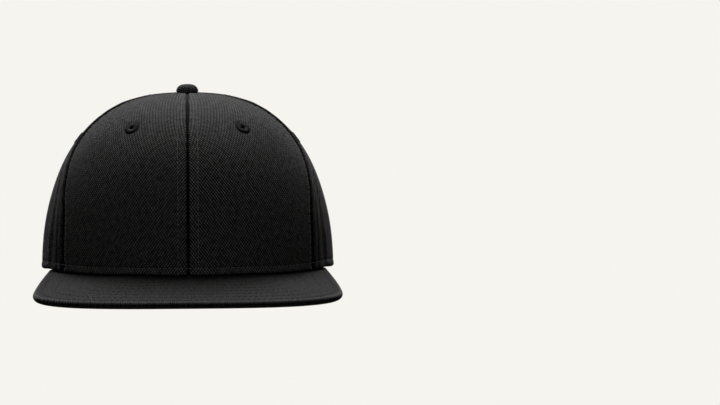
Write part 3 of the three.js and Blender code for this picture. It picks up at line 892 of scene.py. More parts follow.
def run_tree(obj, tree, values):
    """Runs a tree on an object with its named inputs set, and keeps the plain mesh that it makes."""
    modifier = obj.modifiers.new("made", "NODES")
    modifier.node_group = tree
    for item in tree.interface.items_tree:
        if item.in_out == "INPUT" and item.name in values:
            modifier[item.identifier] = values[item.name]
    return settle(obj)


# Panels of the crown

def panel_grid(panel, columns, rows):
    """Angles and shares of a grid over a panel, from the hem up to the hole under the button."""
    hem_crowding, seam_crowding = 1.35, 0.12
    first, second = PANELS[panel]["seams"]
    climb, across = np.meshgrid(
        np.linspace(0, 1, rows) ** hem_crowding, np.linspace(0, 1, columns), indexing="ij")
    across = across - seam_crowding * np.sin(2 * math.pi * across)
    rough = seam_angle(first, climb) * (1 - across) + seam_angle(second, climb) * across
    rise = fullness(rough, "rise")
    top = share_at_radius(rough, SHANK_DIAMETER / 2 + SEAM_GAP)
    share = np.sin(np.arcsin(top ** (rise / 2)) * climb) ** (2 / rise)
    angle = seam_angle(first, share) * (1 - across) + seam_angle(second, share) * across
    return angle, share


def weave_map(points, rows, columns):
    """Lengths along the cloth across and up a grid of points, from its middle column and its hem."""
    grid = points.reshape(rows, columns, 3)
    across = np.zeros((rows, columns))
    across[:, 1:] = np.cumsum(np.linalg.norm(np.diff(grid, axis=1), axis=-1), axis=1)
    across -= across[:, columns // 2][:, None]
    middle = grid[:, columns // 2]
    up = np.concatenate([[0], np.cumsum(np.linalg.norm(np.diff(middle, axis=0), axis=-1))])
    return np.stack([across, np.broadcast_to(up[:, None], across.shape)], -1).reshape(-1, 2)


def make_panel(panel, columns, rows):
    """One right panel: an outer and an inner surface, cut for its eyelet and for the opening."""
    deepest_inside = 1
    bar_length = 12
    under_band, below_hem = 1.2, 12
    angle, share = panel_grid(panel, columns, rows)
    relief = panel_relief(panel, angle, share)
    outer = crown_point(angle, share, relief).reshape(-1, 3)
    softened = np.minimum(relief, deepest_inside)
    inner = crown_point(angle, share, CROWN_WALL + softened).reshape(-1, 3)
    weave = weave_map(surface_point(angle, share).reshape(-1, 3), rows, columns)
    marks = cloth_painted_light(panel, angle, share)
    mesh = mesh_from(
        f"{panel}_panel", np.concatenate([outer, inner]), shell_faces(rows, columns),
        np.concatenate([weave, weave]), np.concatenate([marks, marks]))
    face_outwards(mesh)
    obj = new_object(f"{panel}_panel_right_cloth", mesh)
    place = EYELETS[panel]
    hole = EYELET_BARREL + 2 * SEAM_GAP
    tools = [bar_tool(math.radians(place["angle"]), place["share"], hole, bar_length)]
    if panel == "back":
        outline = arch_outline(under_band)
        outline[:3, 1] -= below_hem
        outline[-3:, 1] -= below_hem
        tools.append(prism_along_y(outline, "arch"))
    carve(obj, tools)
    smooth(obj.data)
    put_in_frame(obj.data)
    return obj


def add_pair(right, material, slot, node):
    """Adds a right piece and its mirrored left one, each standing for its own solid."""
    left = mirror_copy(right, right.name.replace("right", "left"))
    finish_piece(right, material, slot, f"{node}_right")
    finish_piece(left, material, slot, f"{node}_left")


# Eyelets, button and stitches

def tube_along(points, radii, sides, flat=1.0):
    """Closed tube along points in the x-z plane, with round ends made by shrinking radii."""
    points = np.array(points, float)
    tangents = np.gradient(points, axis=0)
    tangents /= np.linalg.norm(tangents, axis=1)[:, None]
    rings = []
    for place, tangent, radius in zip(points, tangents, radii):
        up = np.array([-tangent[2], 0, tangent[0]])
        for side in range(sides):
            turn = 2 * math.pi * side / sides
            rings.append(place + radius * (np.array([0, math.cos(turn), 0]) + flat * math.sin(turn) * up))
    faces = grid_faces(len(points), sides, around=True)
    faces += [tuple(range(sides)), tuple(range(len(rings) - 1, len(rings) - 1 - sides, -1))]
    return rings, faces


def make_stitch():
    """One stitch: a short strand whose ends dive into the cloth."""
    half = STITCH_LENGTH / 2
    dive = THREAD_DIAMETER * 0.75
    shares = np.array([-1, -0.82, -0.4, 0, 0.4, 0.82, 1])
    points = [(half * s, 0, -dive * abs(s) ** 4) for s in shares]
    radii = THREAD_DIAMETER / 2 * np.array([0.35, 0.8, 1, 1, 1, 0.8, 0.35])
    mesh = mesh_from("stitch", *tube_along(points, radii, 6))
    face_outwards(mesh)
    mesh.shade_smooth()
    return new_object("stitch", mesh)


def make_eyelet(panel, threads, material):
    """Buttonhole-stitched eyelet: threads lie over a padded ring, down into its hole and out to its rim."""
    inner, outer = EYELET_HOLE / 2, EYELET_DIAMETER / 2
    strand = 0.24
    base = SEAM_GAP - EYELET_SINK
    crest = base + EYELET_THICKNESS - strand * 0.8
    pad = [
        (inner + strand, -CROWN_WALL), (EYELET_BARREL / 2, -CROWN_WALL), (EYELET_BARREL / 2, base),
        (outer - strand, base), (outer - 0.8, crest - 0.3), ((inner + outer) / 2, crest - 0.12),
        (inner + 0.8, crest - 0.25), (inner + strand, crest - 0.7),
    ]
    sides = 40
    points = []
    for turn in np.linspace(0, 2 * math.pi, sides, endpoint=False):
        points += [(r * math.cos(turn), r * math.sin(turn), z) for r, z in pad]
    count = len(pad)
    faces = [
        (a * count + i, a * count + (i + 1) % count, b * count + (i + 1) % count, b * count + i)
        for a in range(sides) for b in [(a + 1) % sides] for i in range(count)]
    mesh = mesh_from("pad", points, faces)
    face_outwards(mesh)
    mesh.shade_smooth()
    obj = new_object(f"{panel}_eyelet_right_thread", mesh)
    width = outer - inner
    path = [
        (0.1, 0, crest - 1.5), (0.05, 0, crest - 0.6), (0.55, 0, crest - 0.1),
        (width / 2, 0, crest), (width - 0.6, 0, crest - 0.22), (width - 0.1, 0, base - 0.1),
    ]
    radii = strand * np.array([0.5, 0.6, 0.85, 1, 1, 0.7])
    thread_mesh = mesh_from("thread", *tube_along(path, radii, 6))
    face_outwards(thread_mesh)
    thread_mesh.shade_smooth()
    thread = new_object("thread", thread_mesh)
    values = {"Count": 38, "Hole radius": inner * MM, "Thread": thread, "Material": material}
    run_tree(obj, threads, values)
    bpy.data.objects.remove(thread)
    place = EYELETS[panel]
    obj.data.transform(standing_on_crown(math.radians(place["angle"]), place["share"]))
    put_in_frame(obj.data)
    return obj


def make_button():
    """Cloth pulled over a low dome: it wrinkles a little where it turns under the rim."""
    sides, steps = 72, 26
    wrinkles, wrinkle_depth, wrinkle_height = 11, 0.1, 1.2
    radius, waist = BUTTON_DIAMETER / 2, BUTTON_HEIGHT * 0.12
    outline = [(0.01, -SHANK_LENGTH), (SHANK_DIAMETER / 2, -SHANK_LENGTH), (SHANK_DIAMETER / 2, 0)]
    outline += [(BUTTON_FOOT / 2 - 0.4, 0), (BUTTON_FOOT / 2, 0.1), (radius, waist)]
    for turn in np.linspace(0, math.pi / 2, steps)[1:]:
        across = max(radius * math.cos(turn) ** 0.7, 0.01)
        outline.append((across, waist + (BUTTON_HEIGHT - waist) * math.sin(turn)))
    points = []
    for across, height in outline:
        for turn in np.linspace(0, 2 * math.pi, sides, endpoint=False):
            reach = across
            if across > radius * 0.7:
                fading = math.exp(-((height - waist) / wrinkle_height) ** 2)
                reach += wrinkle_depth * math.sin(wrinkles * turn) * fading
            points.append((reach * math.cos(turn), reach * math.sin(turn), height))
    faces = grid_faces(len(outline), sides, around=True)
    faces += [tuple(range(sides)), tuple(range(len(points) - sides, len(points)))]
    points = np.array(points)
    profile = np.array(outline)[::-1]
    pulled = np.concatenate([[0], np.cumsum(np.linalg.norm(np.diff(profile, axis=0), axis=1))])[::-1]
    around = np.tile(np.linspace(0, 2 * math.pi, sides, endpoint=False), len(outline))
    weave = np.repeat(pulled, sides)[:, None] * np.stack([np.cos(around), np.sin(around)], -1)
    mesh = mesh_from("button", points + (0, 0, CROWN_HEIGHT + REST_GAP), faces, weave)
    face_outwards(mesh)
    smooth(mesh)
    put_in_frame(mesh)
    return new_object("button_cover", mesh)


def crown_path(panel, angle, share, lift):
    """Points and normals of a row of stitches that lies on a panel's relief."""
    depth = panel_relief(panel, angle, share) - lift
    return crown_point(angle, share, depth), surface_normal(angle, share)


def seam_stitch_paths(side):
    """Topstitching beside each seam and along the hem, on one side of the cap."""
    above_opening = 0.55
    least_rate = 8
    paths = []
    share = np.concatenate([np.linspace(0.012, 0.9, 60), np.linspace(0.905, 0.985, 20)])
    for panel, facts in PANELS.items():
        for seam, stitch, inward in zip(facts["seams"], facts["stitch"], (1, -1)):
            used = share[share > above_opening] if seam == "back_centre" else share
            base = seam_angle(seam, used)
            angle = base + inward * stitch / np.maximum(round_rate(base, used), least_rate)
            paths.append(crown_path(panel, angle, used, THREAD_DIAMETER * THREAD_LIFT["seam"]))
        first, second = (seam_angle(seam, np.zeros(1))[0] for seam in facts["seams"])
        gap = 4 * SEAM_GAP / CROWN_HALF_WIDTH
        if panel == "back":
            second = math.pi - math.asin((ARCH_HALF_WIDTH + ARCH_BAND) / CROWN_HALF_WIDTH)
        angle = np.linspace(first + gap, second - gap, 60)
        level = HEM_STITCH / (CROWN_HEIGHT - hem_height(angle))
        paths.append(crown_path(panel, angle, level, THREAD_DIAMETER * THREAD_LIFT["hem"]))
    flip = np.array([side, 1, 1])
    return [(points * flip, normals * flip) for points, normals in paths]


def make_stitching(name, paths, tree, stitch, material, pitch=STITCH_PITCH):
    """One piece with all stitches of some rows, each row a path of points with normals."""
    points, edges, normals = [], [], []
    for row, away in paths:
        edges += [(len(points) + i, len(points) + i + 1) for i in range(len(row) - 1)]
        points += list(row)
        normals += list(away)
    mesh = bpy.data.meshes.new(name)
    mesh.from_pydata((np.array(points) * MM).tolist(), edges, [])
    attribute = mesh.attributes.new("away", "FLOAT_VECTOR", "POINT")
    attribute.data.foreach_set("vector", np.array(normals, np.float32).ravel())
    obj = new_object(name, mesh)
    run_tree(obj, tree, {"Pitch": pitch * MM, "Stitch": stitch, "Material": material})
    put_in_frame(obj.data)
    return obj


# Brim

def brim_edge(count):
    """Evenly spaced points along the brim's outer edge, and the direction away from it at each."""
    widest = CROWN_FRONT + BRIM_LENGTH - BRIM_CORNER
    rear = CROWN_FRONT * math.cos(BRIM_HALF_ANGLE) - BRIM_REAR_TUCK
    squareness = 3.3
    turn = (1 - np.linspace(0, 1, 900)) * math.pi / 2
    corner_x = BRIM_HALF_WIDTH * np.cos(turn) ** (2 / squareness)
    corner_y = widest + BRIM_CORNER * np.sin(turn) ** (2 / squareness)
    share = np.linspace(0, 1, 500)[1:]
    side_x = BRIM_HALF_WIDTH + (BRIM_REAR_HALF_WIDTH - BRIM_HALF_WIDTH) * share ** 2
    side_y = widest + (rear - widest) * share
    x = np.concatenate([corner_x, side_x])
    y = -np.concatenate([corner_y, side_y])
    z = np.concatenate([np.zeros_like(corner_x), BRIM_REAR_LIFT * share ** 3])
    half = np.stack([x, y, z], -1)
    whole = np.concatenate([(half * [-1, 1, 1])[::-1], half[1:]])
    length = np.concatenate([[0], np.cumsum(np.linalg.norm(np.diff(whole, axis=0), axis=1))])
    even = np.linspace(0, length[-1], count)
    edge = np.stack([np.interp(even, length, whole[:, axis]) for axis in range(3)], -1)
    along = np.gradient(edge, axis=0)
    away = np.stack([along[:, 1], -along[:, 0], np.zeros(count)], -1)
    return edge, away / np.linalg.norm(away, axis=1)[:, None]


def brim_lines(count):
    """Inner and outer ends of the lines that run out over the brim, and their slant to the edge."""
    edge, away = brim_edge(count)
    angle = np.linspace(-BRIM_HALF_ANGLE, BRIM_HALF_ANGLE, count)
    inner = crown_point(angle, np.zeros(count), np.full(count, BRIM_TUCK))
    inner[:, 2] = hem_height(angle) - REST_GAP - BRIM_THICKNESS
    outer = edge - away * BRIM_EDGE_ROUND
    run = outer - inner
    length = np.linalg.norm(run, axis=1)
    least_slant = 0.3
    slant = np.clip(np.sum(run / length[:, None] * away, axis=1), least_slant, 1)
    spread = max(count // 16, 1)
    mean = np.ones(2 * spread + 1) / (2 * spread + 1)
    slant = np.convolve(np.pad(slant, spread, mode="edge"), mean, "valid")
    return inner, outer, away, length, slant


def brim_rows():
    return [BRIM_FIRST_ROW + BRIM_ROW_PITCH * row for row in range(BRIM_ROW_COUNT)]


def brim_relief(distance):
    """Depth below the brim's plain surface: each row of stitches draws the cloth down."""
    groove_width = 0.7
    depth = np.zeros_like(distance)
    for row in brim_rows():
        depth += BRIM_GROOVE * bump(distance - row, groove_width)
    return depth


def brim_painted_light(distance, turns):
    """Painted shade along the brim's rows of stitches and along the middle of its edge, and a painted
    highlight on the edge's rounding beside it.
    """
    rows = brim_rows()
    painted_shades = [marked(distance - rows[0], BRIM_FIRST_ROW_PAINTED_SHADE)]
    painted_shades += [marked(distance - row, BRIM_ROW_PAINTED_SHADE) for row in rows[1:]]
    degrees = np.degrees(turns)[:, None]
    rim_painted_shade, rim_painted_highlight = (
        np.repeat(marked(degrees, mark), distance.shape[1], axis=1) for mark in (RIM_PAINTED_SHADE, RIM_PAINTED_HIGHLIGHT))
    painted_shades = np.concatenate([np.max(painted_shades, axis=0), rim_painted_shade])
    painted_highlights = np.concatenate([np.zeros_like(distance), rim_painted_highlight])
    return np.stack([painted_shades, painted_highlights], -1).reshape(-1, 2)


def make_brim(columns, rows):
    """Upper and lower cloth of the brim, joined round its edge and tucked in under the crown."""
    tuck_rise, tuck_margin, tuck_fade = REST_GAP * 1.3, 0.6, 1.5
    height_as_length = 1.4
    inner, outer, away, length, slant = brim_lines(columns)
    out = np.linspace(0, 1, rows)[:, None, None]
    flat = inner * (1 - out) + outer * out
    distance = (1 - out[..., 0]) * (length * slant)[None] + BRIM_EDGE_ROUND
    half = BRIM_THICKNESS / 2
    tucked = BRIM_TUCK - tuck_margin - out[..., 0] * length[None]
    under_hem = tuck_rise * np.clip(tucked / tuck_fade, 0, 1)
    turns = np.radians([82, 74, 66, 58, 50, 42, 34, 26, 18, 9, 0])
    layers = []
    for side in (1, -1):
        surface = flat.copy()
        surface[..., 2] += half + side * (half - brim_relief(distance))
        surface[..., 2] += max(side, 0) * under_hem
        rim = []
        for turn in turns:
            ring = outer + away * BRIM_EDGE_ROUND * math.cos(turn)
            ring[:, 2] += half + side * (half - BRIM_EDGE_ROUND * (1 - math.sin(turn)))
            rim.append(ring)
        layers.append(np.concatenate([surface, np.array(rim)]))
    x, y, z = np.moveaxis(layers[0], -1, 0)
    weave = np.stack([x, y - z * height_as_length], -1)
    total = rows + len(turns)
    points = np.concatenate([layer.reshape(-1, 3) for layer in layers])
    uv = np.concatenate([weave.reshape(-1, 2)] * 2)
    marks = np.concatenate([brim_painted_light(distance, turns)] * 2)
    mesh = mesh_from("brim", points, shell_faces(total, columns), uv, marks)
    face_outwards(mesh)
    smooth(mesh)
    put_in_frame(mesh)
    return new_object("brim_cover", mesh)


def brim_stitch_paths():
    """Rows of stitches that run round the brim beside its edge, above and below."""
    clear_of_crown = 5
    inner, outer, _, length, slant = brim_lines(400)
    half = BRIM_THICKNESS / 2
    height = half - BRIM_GROOVE + THREAD_DIAMETER * THREAD_LIFT["brim"]
    paths = []
    for row in brim_rows():
        along = (row - BRIM_EDGE_ROUND) / slant
        kept = along < length - BRIM_TUCK - clear_of_crown
        share = (along / length)[kept, None]
        line = outer[kept] * (1 - share) + inner[kept] * share
        breaks = np.flatnonzero(np.diff(np.flatnonzero(kept)) > 1)
        for side in (1, -1):
            points = line.copy()
            points[:, 2] += half + side * height
            away = np.tile([0.0, 0.0, side], (len(points), 1))
            for part, facing in zip(np.split(points, breaks + 1), np.split(away, breaks + 1)):
                if len(part) > 4:
                    paths.append((part, facing))
    return paths


# Sweatband and the hem round the opening

def make_sweatband(columns, rows):
    """Band inside the hem, from one end of the strap round the front to the other."""
    beside_strap = math.radians(3)
    lift, cloth_gap = 1.2, 0.7
    waves, wave_depth = 38, 0.12
    seam_height, seam_width, seam_depth = 5, 0.8, 0.35
    tab = math.asin((ARCH_HALF_WIDTH + STRAP_TAB) / CROWN_HALF_WIDTH)
    end = math.pi - tab - beside_strap
    face = CROWN_WALL + cloth_gap + SEAM_GAP
    up, angle = np.meshgrid(np.linspace(0, 1, rows), np.linspace(-end, end, columns), indexing="ij")
    height = lift + (BAND_HEIGHT - lift) * up
    share = share_at_height(angle, hem_height(angle) + height)
    wave = wave_depth * np.sin(angle * waves) * (up > 0.02) * (up < 0.98)
    seam = seam_depth * bump(height - seam_height, seam_width)
    outer = crown_point(angle, share, face + 0 * up)
    inner = crown_point(angle, share, face + BAND_THICKNESS - seam * 0.6 + wave)
    weave = np.stack([angle * CROWN_HALF_WIDTH, height], -1).reshape(-1, 2)
    points = np.concatenate([outer.reshape(-1, 3), inner.reshape(-1, 3)])
    mesh = mesh_from("sweatband", points, shell_faces(rows, columns), np.concatenate([weave, weave]))
    face_outwards(mesh)
    smooth(mesh)
    put_in_frame(mesh)
    return new_object("sweatband_cloth", mesh)


def make_arch_band():
    """Folded hem round the opening: the cloth turns over its edge and is stitched down on both sides."""
    rise, wall = ARCH_BAND_RISE, CROWN_WALL
    near, far = ARCH_ROWS
    middle = far["offset"] - 0.4
    outer_side = [
        (-0.45, wall / 2), (-0.4, wall * 0.3), (-0.2, -rise * 0.4), (0.4, -rise * 0.85), (1.0, -rise),
        (1.6, -rise), (near["offset"], near["sink"] - rise), (2.4, -rise), (4.2, -rise * 1.15),
        (6.4, -rise * 1.1), (middle, -rise * 0.75), (far["offset"], far["sink"] - rise), (7.9, -rise * 0.8),
        (ARCH_BAND, -rise * 0.55), (ARCH_BAND + 0.25, 0.1), (ARCH_BAND, 0.45), (4, 0.3), (1.0, 0.3),
    ]
    inner_side = [
        (1.0, wall - 0.3), (4, wall - 0.3), (ARCH_BAND - 0.4, wall - 0.4), (ARCH_BAND - 0.2, wall + 0.2),
        (ARCH_BAND - 1, wall + 0.42), (4, wall + 0.45), (1.0, wall + 0.42), (0, wall + 0.3),
        (-0.3, wall * 0.8),
    ]
    section = outer_side + inner_side
    rings = []
    for offset, depth in section:
        outline = arch_outline(offset, 110)
        outline[:, 1] = np.maximum(outline[:, 1], STRAP_CLEAR)
        angle, share = angle_behind(outline[:, 0], outline[:, 1])
        rings.append(crown_point(angle, share, depth + dent_depth(angle, share)))
    grid = np.array(rings).transpose(1, 0, 2)
    stations, around = grid.shape[:2]
    length = np.concatenate([[0], np.cumsum(np.linalg.norm(np.diff(grid[:, 4], axis=0), axis=1))])
    offsets = np.array([offset for offset, _ in section])
    weave = np.stack(np.broadcast_arrays(length[:, None], offsets[None]), -1).reshape(-1, 2)
    faces = grid_faces(stations, around, around=True)
    faces += [tuple(range(around)), tuple(range(stations * around - 1, (stations - 1) * around - 1, -1))]
    # Painted shade along the band's middle seam, its two rows of stitches and its outer fold, and a painted
    # highlight over the whole band, strongest along the opening's edge
    seam_width, painted_shade_width = 0.6, 0.35
    sewn_rows_painted_shade = 0.6
    lines = [near["offset"], far["offset"], ARCH_BAND + 0.25]
    sewn = sewn_rows_painted_shade * np.max([bump(offsets - line, painted_shade_width) for line in lines], axis=0)
    painted_shades = np.maximum(bump(grid[..., 0], seam_width), sewn[None])
    painted_highlights = np.broadcast_to(0.3 + marked(offsets, OPENING_EDGE_PAINTED_HIGHLIGHT), painted_shades.shape)
    marks = np.stack([painted_shades, painted_highlights], -1).reshape(-1, 2)
    mesh = mesh_from("arch_band", grid.reshape(-1, 3), faces, weave, marks)
    face_outwards(mesh)
    smooth(mesh, 60)
    put_in_frame(mesh)
    return new_object("opening_hem_band", mesh)


def arch_stitch_paths():
    """Rows of stitches along the folded hem of the opening, from just above the crown's hem."""
    above_hem = 2
    paths = []
    for row in ARCH_ROWS:
        outline = arch_outline(row["offset"], 110)
        outline = outline[outline[:, 1] > above_hem]
        angle, share = angle_behind(outline[:, 0], outline[:, 1])
        depth = row["sink"] - ARCH_BAND_RISE + dent_depth(angle, share)
        lifted = depth - THREAD_DIAMETER * THREAD_LIFT["opening"]
        paths.append((crown_point(angle, share, lifted), surface_normal(angle, share)))
    return paths


# Strap

def rounded_outline(low_x, high_x, low_z, high_z, corner, steps=8):
    """Outline of a rectangle with round corners; corner gives their radius at the low and high x ends."""
    points = []
    places = (
        (high_x, high_z, corner[1], 0), (low_x, high_z, corner[0], 90),
        (low_x, low_z, corner[0], 180), (high_x, low_z, corner[1], 270))
    for x, z, radius, start in places:
        centre_x = x - math.copysign(radius, x - (low_x + high_x) / 2)
        centre_z = z - math.copysign(radius, z - (low_z + high_z) / 2)
        for turn in np.radians(np.linspace(start, start + 90, steps + 1)):
            points.append((centre_x + radius * math.cos(turn), centre_z + radius * math.sin(turn)))
    return points


def flat_plate(name, outline, top, bottom):
    """Flat plate from an outline in distance and height, between two levels out of the strap's face."""
    count = len(outline)
    points = [(x, z, level) for level in (bottom, top) for x, z in outline]
    faces = [tuple(range(count - 1, -1, -1)), tuple(range(count, 2 * count))]
    faces += [(i, (i + 1) % count, (i + 1) % count + count, i + count) for i in range(count)]
    mesh = mesh_from(name, points, faces)
    face_outwards(mesh)
    return new_object(name, mesh)


def flat_pin(distance, diameter):
    """Round bar through the flat strap, to cut a hole."""
    outline = [
        (distance + diameter / 2 * math.cos(turn), STRAP_MIDDLE + diameter / 2 * math.sin(turn))
        for turn in np.linspace(0, 2 * math.pi, 28, endpoint=False)]
    return flat_plate("pin", outline, 3, -4)


def round_edges(obj, width, segments):
    bevel = obj.modifiers.new("round", "BEVEL")
    bevel.width = width * MM
    bevel.segments = segments
    bevel.limit_method = "ANGLE"
    bevel.angle_limit = math.radians(50)
    bevel.use_clamp_overlap = True
    settle(obj)


def bend_onto_crown(obj, depth_at, step=1.6):
    """Cuts a flat strap into short lengths, then bends it round behind the crown's wall."""
    work = bmesh.new()
    work.from_mesh(obj.data)
    low = min(v.co.x for v in work.verts)
    high = max(v.co.x for v in work.verts)
    for place in np.arange(low + step * MM, high, step * MM):
        geometry = list(work.verts) + list(work.edges) + list(work.faces)
        bmesh.ops.bisect_plane(
            work, geom=geometry, dist=1e-7, plane_co=(place, 0, 0), plane_no=(1, 0, 0))
    work.to_mesh(obj.data)
    work.free()
    count = len(obj.data.vertices)
    points = np.zeros(count * 3)
    obj.data.vertices.foreach_get("co", points)
    distance, height, out = points.reshape(-1, 3).T / MM
    angle = back_angle(distance)
    bent = crown_point(angle, share_at_height(angle, height), depth_at(distance) - out) * MM
    obj.data.vertices.foreach_set("co", bent.ravel())
    obj.data.update()
    face_outwards(obj.data)
    smooth(obj.data, 35)
    put_in_frame(obj.data)


def make_holed_strap():
    """Outer half of the closure: a plate with a shallow channel and a row of holes in it."""
    tip = FIRST_HOLE - STRAP_TIP_BEYOND_HOLE
    tab = ARCH_HALF_WIDTH + STRAP_TAB
    top = STRAP_CLEAR + STRAP_HEIGHT
    outline = rounded_outline(tip, tab, STRAP_CLEAR, top, (STRAP_CORNER, STRAP_TAB_CORNER))
    obj = flat_plate("strap_with_holes_moulding", outline, 0, -STRAP_THICKNESS)
    last = FIRST_HOLE + (HOLE_COUNT - 1) * HOLE_PITCH
    channel = rounded_outline(
        FIRST_HOLE - CHANNEL_MARGIN, last + CHANNEL_MARGIN, STRAP_MIDDLE - CHANNEL_HEIGHT / 2,
        STRAP_MIDDLE + CHANNEL_HEIGHT / 2, (CHANNEL_CORNER, CHANNEL_CORNER), 4)
    tools = [flat_plate("channel", channel, 1, -CHANNEL_DEPTH)]
    tools += [flat_pin(FIRST_HOLE + hole * HOLE_PITCH, HOLE_DIAMETER) for hole in range(HOLE_COUNT)]
    carve(obj, tools)
    round_edges(obj, width=0.16, segments=2)
    bend_onto_crown(obj, lambda distance: np.full_like(distance, OUTER_STRAP_DEPTH))
    return obj


def peg_object():
    """Snap peg: a short post with a round head."""
    radius = PEG_DIAMETER / 2
    dome = radius * 0.6
    outline = [(0.01, -STRAP_THICKNESS / 2), (radius, -STRAP_THICKNESS / 2), (radius, PEG_HEIGHT - dome)]
    for turn in np.radians([20, 40, 60, 80]):
        outline.append((radius * math.cos(turn), PEG_HEIGHT - dome + dome * math.sin(turn)))
    outline.append((0.01, PEG_HEIGHT))
    sides = 20
    points = [
        (r * math.cos(turn), r * math.sin(turn), z)
        for r, z in outline for turn in np.linspace(0, 2 * math.pi, sides, endpoint=False)]
    faces = grid_faces(len(outline), sides, around=True)
    faces += [tuple(range(sides)), tuple(range(len(points) - sides, len(points)))]
    mesh = mesh_from("peg", points, faces)
    face_outwards(mesh)
    return new_object("peg", mesh)


def make_pegged_strap(pegs, material):
    """Inner half of the closure: a plate with pegs that steps in behind the outer half."""
    clear_of_tip, step_length = 2, 14
    first_peg = FIRST_HOLE + (CLOSED_PEGS - 1) * HOLE_PITCH
    tip = first_peg + STRAP_TIP_BEYOND_HOLE
    tab = ARCH_HALF_WIDTH + STRAP_TAB
    top = STRAP_CLEAR + STRAP_HEIGHT
    outline = rounded_outline(-tab, tip, STRAP_CLEAR, top, (STRAP_TAB_CORNER, STRAP_CORNER))
    obj = flat_plate("strap_with_pegs_moulding", outline, 0, -STRAP_THICKNESS)
    round_edges(obj, width=0.25, segments=2)
    peg = peg_object()
    run_tree(obj, pegs, {
        "Count": PEG_COUNT, "Peg": peg, "Material": material,
        "Start": (first_peg * MM, STRAP_MIDDLE * MM, 0.0), "Step": (-HOLE_PITCH * MM, 0.0, 0.0)})
    bpy.data.objects.remove(peg)
    covered_end = FIRST_HOLE - STRAP_TIP_BEYOND_HOLE - clear_of_tip

    def depth_at(distance):
        share = np.clip((distance - covered_end + step_length) / step_length, 0, 1)
        eased = share * share * (3 - 2 * share)
        return OUTER_STRAP_DEPTH + (INNER_STRAP_DEPTH - OUTER_STRAP_DEPTH) * eased

    bend_onto_crown(obj, depth_at)
    return obj


# Studio: floor, lights and camera

def make_floor():
    """Round sheet of paper, in metres, that curves up far away on all sides."""
    sides, flat, bend = 96, 5, 4
    profile = [(1, 0), (3, 0), (flat, 0)]
    for turn in np.linspace(0.15, math.pi / 2, 10):
        profile.append((flat + bend * math.sin(turn), bend - bend * math.cos(turn)))
    profile.append((flat + bend, 2 * bend))
    points = [
        (r * math.cos(turn), r * math.sin(turn), z)
        for r, z in profile for turn in np.linspace(0, 2 * math.pi, sides, endpoint=False)]
    faces = grid_faces(len(profile), sides, around=True) + [tuple(range(sides))]
    mesh = bpy.data.meshes.new("floor")
    mesh.from_pydata(points, [], faces)
    mesh.shade_smooth()
    mesh.materials.append(floor_material())
    floor = new_object("floor", mesh)
    below_cap = 0.4
    mesh.transform(Matrix.Translation((0, 0, -below_cap * MM)))
    floor.visible_diffuse = False
    floor.visible_glossy = False


def area_light(name, place, target, width, height, watts):
    data = bpy.data.lights.new(name, "AREA")
    data.shape = "RECTANGLE"
    data.size = width
    data.size_y = height
    data.energy = watts
    light = bpy.data.objects.new(name, data)
    light.location = place
    light.rotation_mode = "QUATERNION"
    light.rotation_quaternion = (Vector(target) - Vector(place)).to_track_quat("-Z", "Y")
    bpy.context.scene.collection.objects.link(light)


def make_lights():
    middle = (0, CROWN_MIDDLE_Y * MM, 0.06)
    area_light("key_softbox", (0, 0.72, 1.2), middle, 1.2, 0.9, 17.5)
    area_light("left_softbox", (-0.85, 1.9, 0.3), middle, 0.4, 1.0, 6)
    area_light("right_softbox", (0.85, 1.9, 0.3), middle, 0.4, 1.0, 6)
    area_light("front_fill", (0, -1.7, 1.9), middle, 1.4, 1.0, 5.5)
    world = bpy.data.worlds.new("studio")
    world.use_nodes = True
    world.node_tree.nodes["Background"].inputs[0].default_value = linear("f6f4ef")
    world.node_tree.nodes["Background"].inputs[1].default_value = 0.03
    bpy.context.scene.world = world


def make_camera():
    """The photograph's front view: crown's middle left of the picture's centre, seen from 1.5 m away."""
    focal_pixels = 2430
    centre_x, horizon_y = 187.3, -5.2
    width, height = 720, 405
    distance, eye_height = 1500, 171.5
    data = bpy.data.cameras.new("camera")
    data.sensor_width = 36
    data.lens = focal_pixels / width * data.sensor_width
    camera = bpy.data.objects.new("camera", data)
    camera.location = (0, (CROWN_MIDDLE_Y - distance) * MM, eye_height * MM)
    down = math.atan((height / 2 - horizon_y) / focal_pixels)
    right = math.atan((width / 2 - centre_x) / focal_pixels)
    camera.rotation_euler = (math.pi / 2 - down, 0, -right)
    bpy.context.scene.collection.objects.link(camera)
    bpy.context.scene.camera = camera


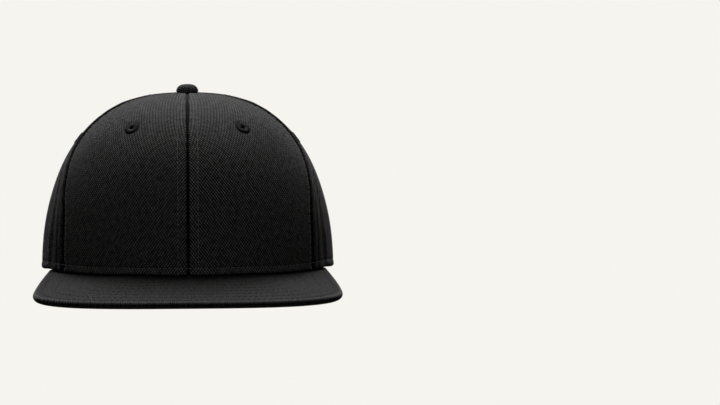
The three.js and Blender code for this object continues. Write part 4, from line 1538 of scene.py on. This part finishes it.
def build_cap():
    # Wales are 1.2 mm apart in the photograph, drawn a little coarser so that they show
    crown_twill = twill_material(
        "black_cotton_twill", "000000", "a0a09f", wale=1.3, slant=52, uneven=0.5, depth=0.22)
    brim_twill = twill_material(
        "brim_cotton_twill", "010101", "626261", wale=1.15, slant=72, uneven=0.75, depth=0.16)
    # One black polyester thread in two colours: painted paler on the crown, a painted highlight on its
    # stitches, and painted darker on the brim, painted shade that keeps its rows from showing as light lines
    sewing_thread_painted_highlight = thread_material("polyester_sewing_thread", ("4c4c4c", "9e9e9d"), 0.5)
    brim_thread_painted_shade = thread_material("polyester_brim_thread", ("050505", "1c1c1b"), 0.5)
    eyelet_thread = thread_material("eyelet_embroidery_thread", ("0e0e0e", "2a2a29"), 0.5)
    plastic = plastic_material()
    stitches, threads, pegs = stitch_tree(), thread_ring_tree(), peg_row_tree()

    for panel in PANELS:
        add_pair(make_panel(panel, columns=116, rows=150), crown_twill, "twill", f"{panel}_panel")
        add_pair(make_eyelet(panel, threads, eyelet_thread), eyelet_thread, "thread", f"{panel}_eyelet")
    finish_piece(make_button(), crown_twill, "twill", "button")
    finish_piece(make_brim(columns=230, rows=96), brim_twill, "brim_twill", "brim")
    finish_piece(make_sweatband(columns=220, rows=22), band_material(), "band_cloth", "sweatband")
    finish_piece(make_arch_band(), crown_twill, "twill")
    finish_piece(make_holed_strap(), plastic, "strap_plastic", "strap_with_holes")
    finish_piece(make_pegged_strap(pegs, plastic), plastic, "strap_plastic", "strap_with_pegs")

    stitch = make_stitch()
    rows = {
        "crown_topstitching_right": seam_stitch_paths(1),
        "crown_topstitching_left": seam_stitch_paths(-1),
        "brim_stitching": brim_stitch_paths(),
        "opening_stitching": arch_stitch_paths(),
    }
    for name, paths in rows.items():
        thread = brim_thread_painted_shade if name == "brim_stitching" else sewing_thread_painted_highlight
        finish_piece(make_stitching(name, paths, stitches, stitch, thread), thread, "thread")
    bpy.data.objects.remove(stitch)


build_cap()
make_floor()
make_lights()
make_camera()
bpy.context.scene.view_settings.view_transform = "Standard"
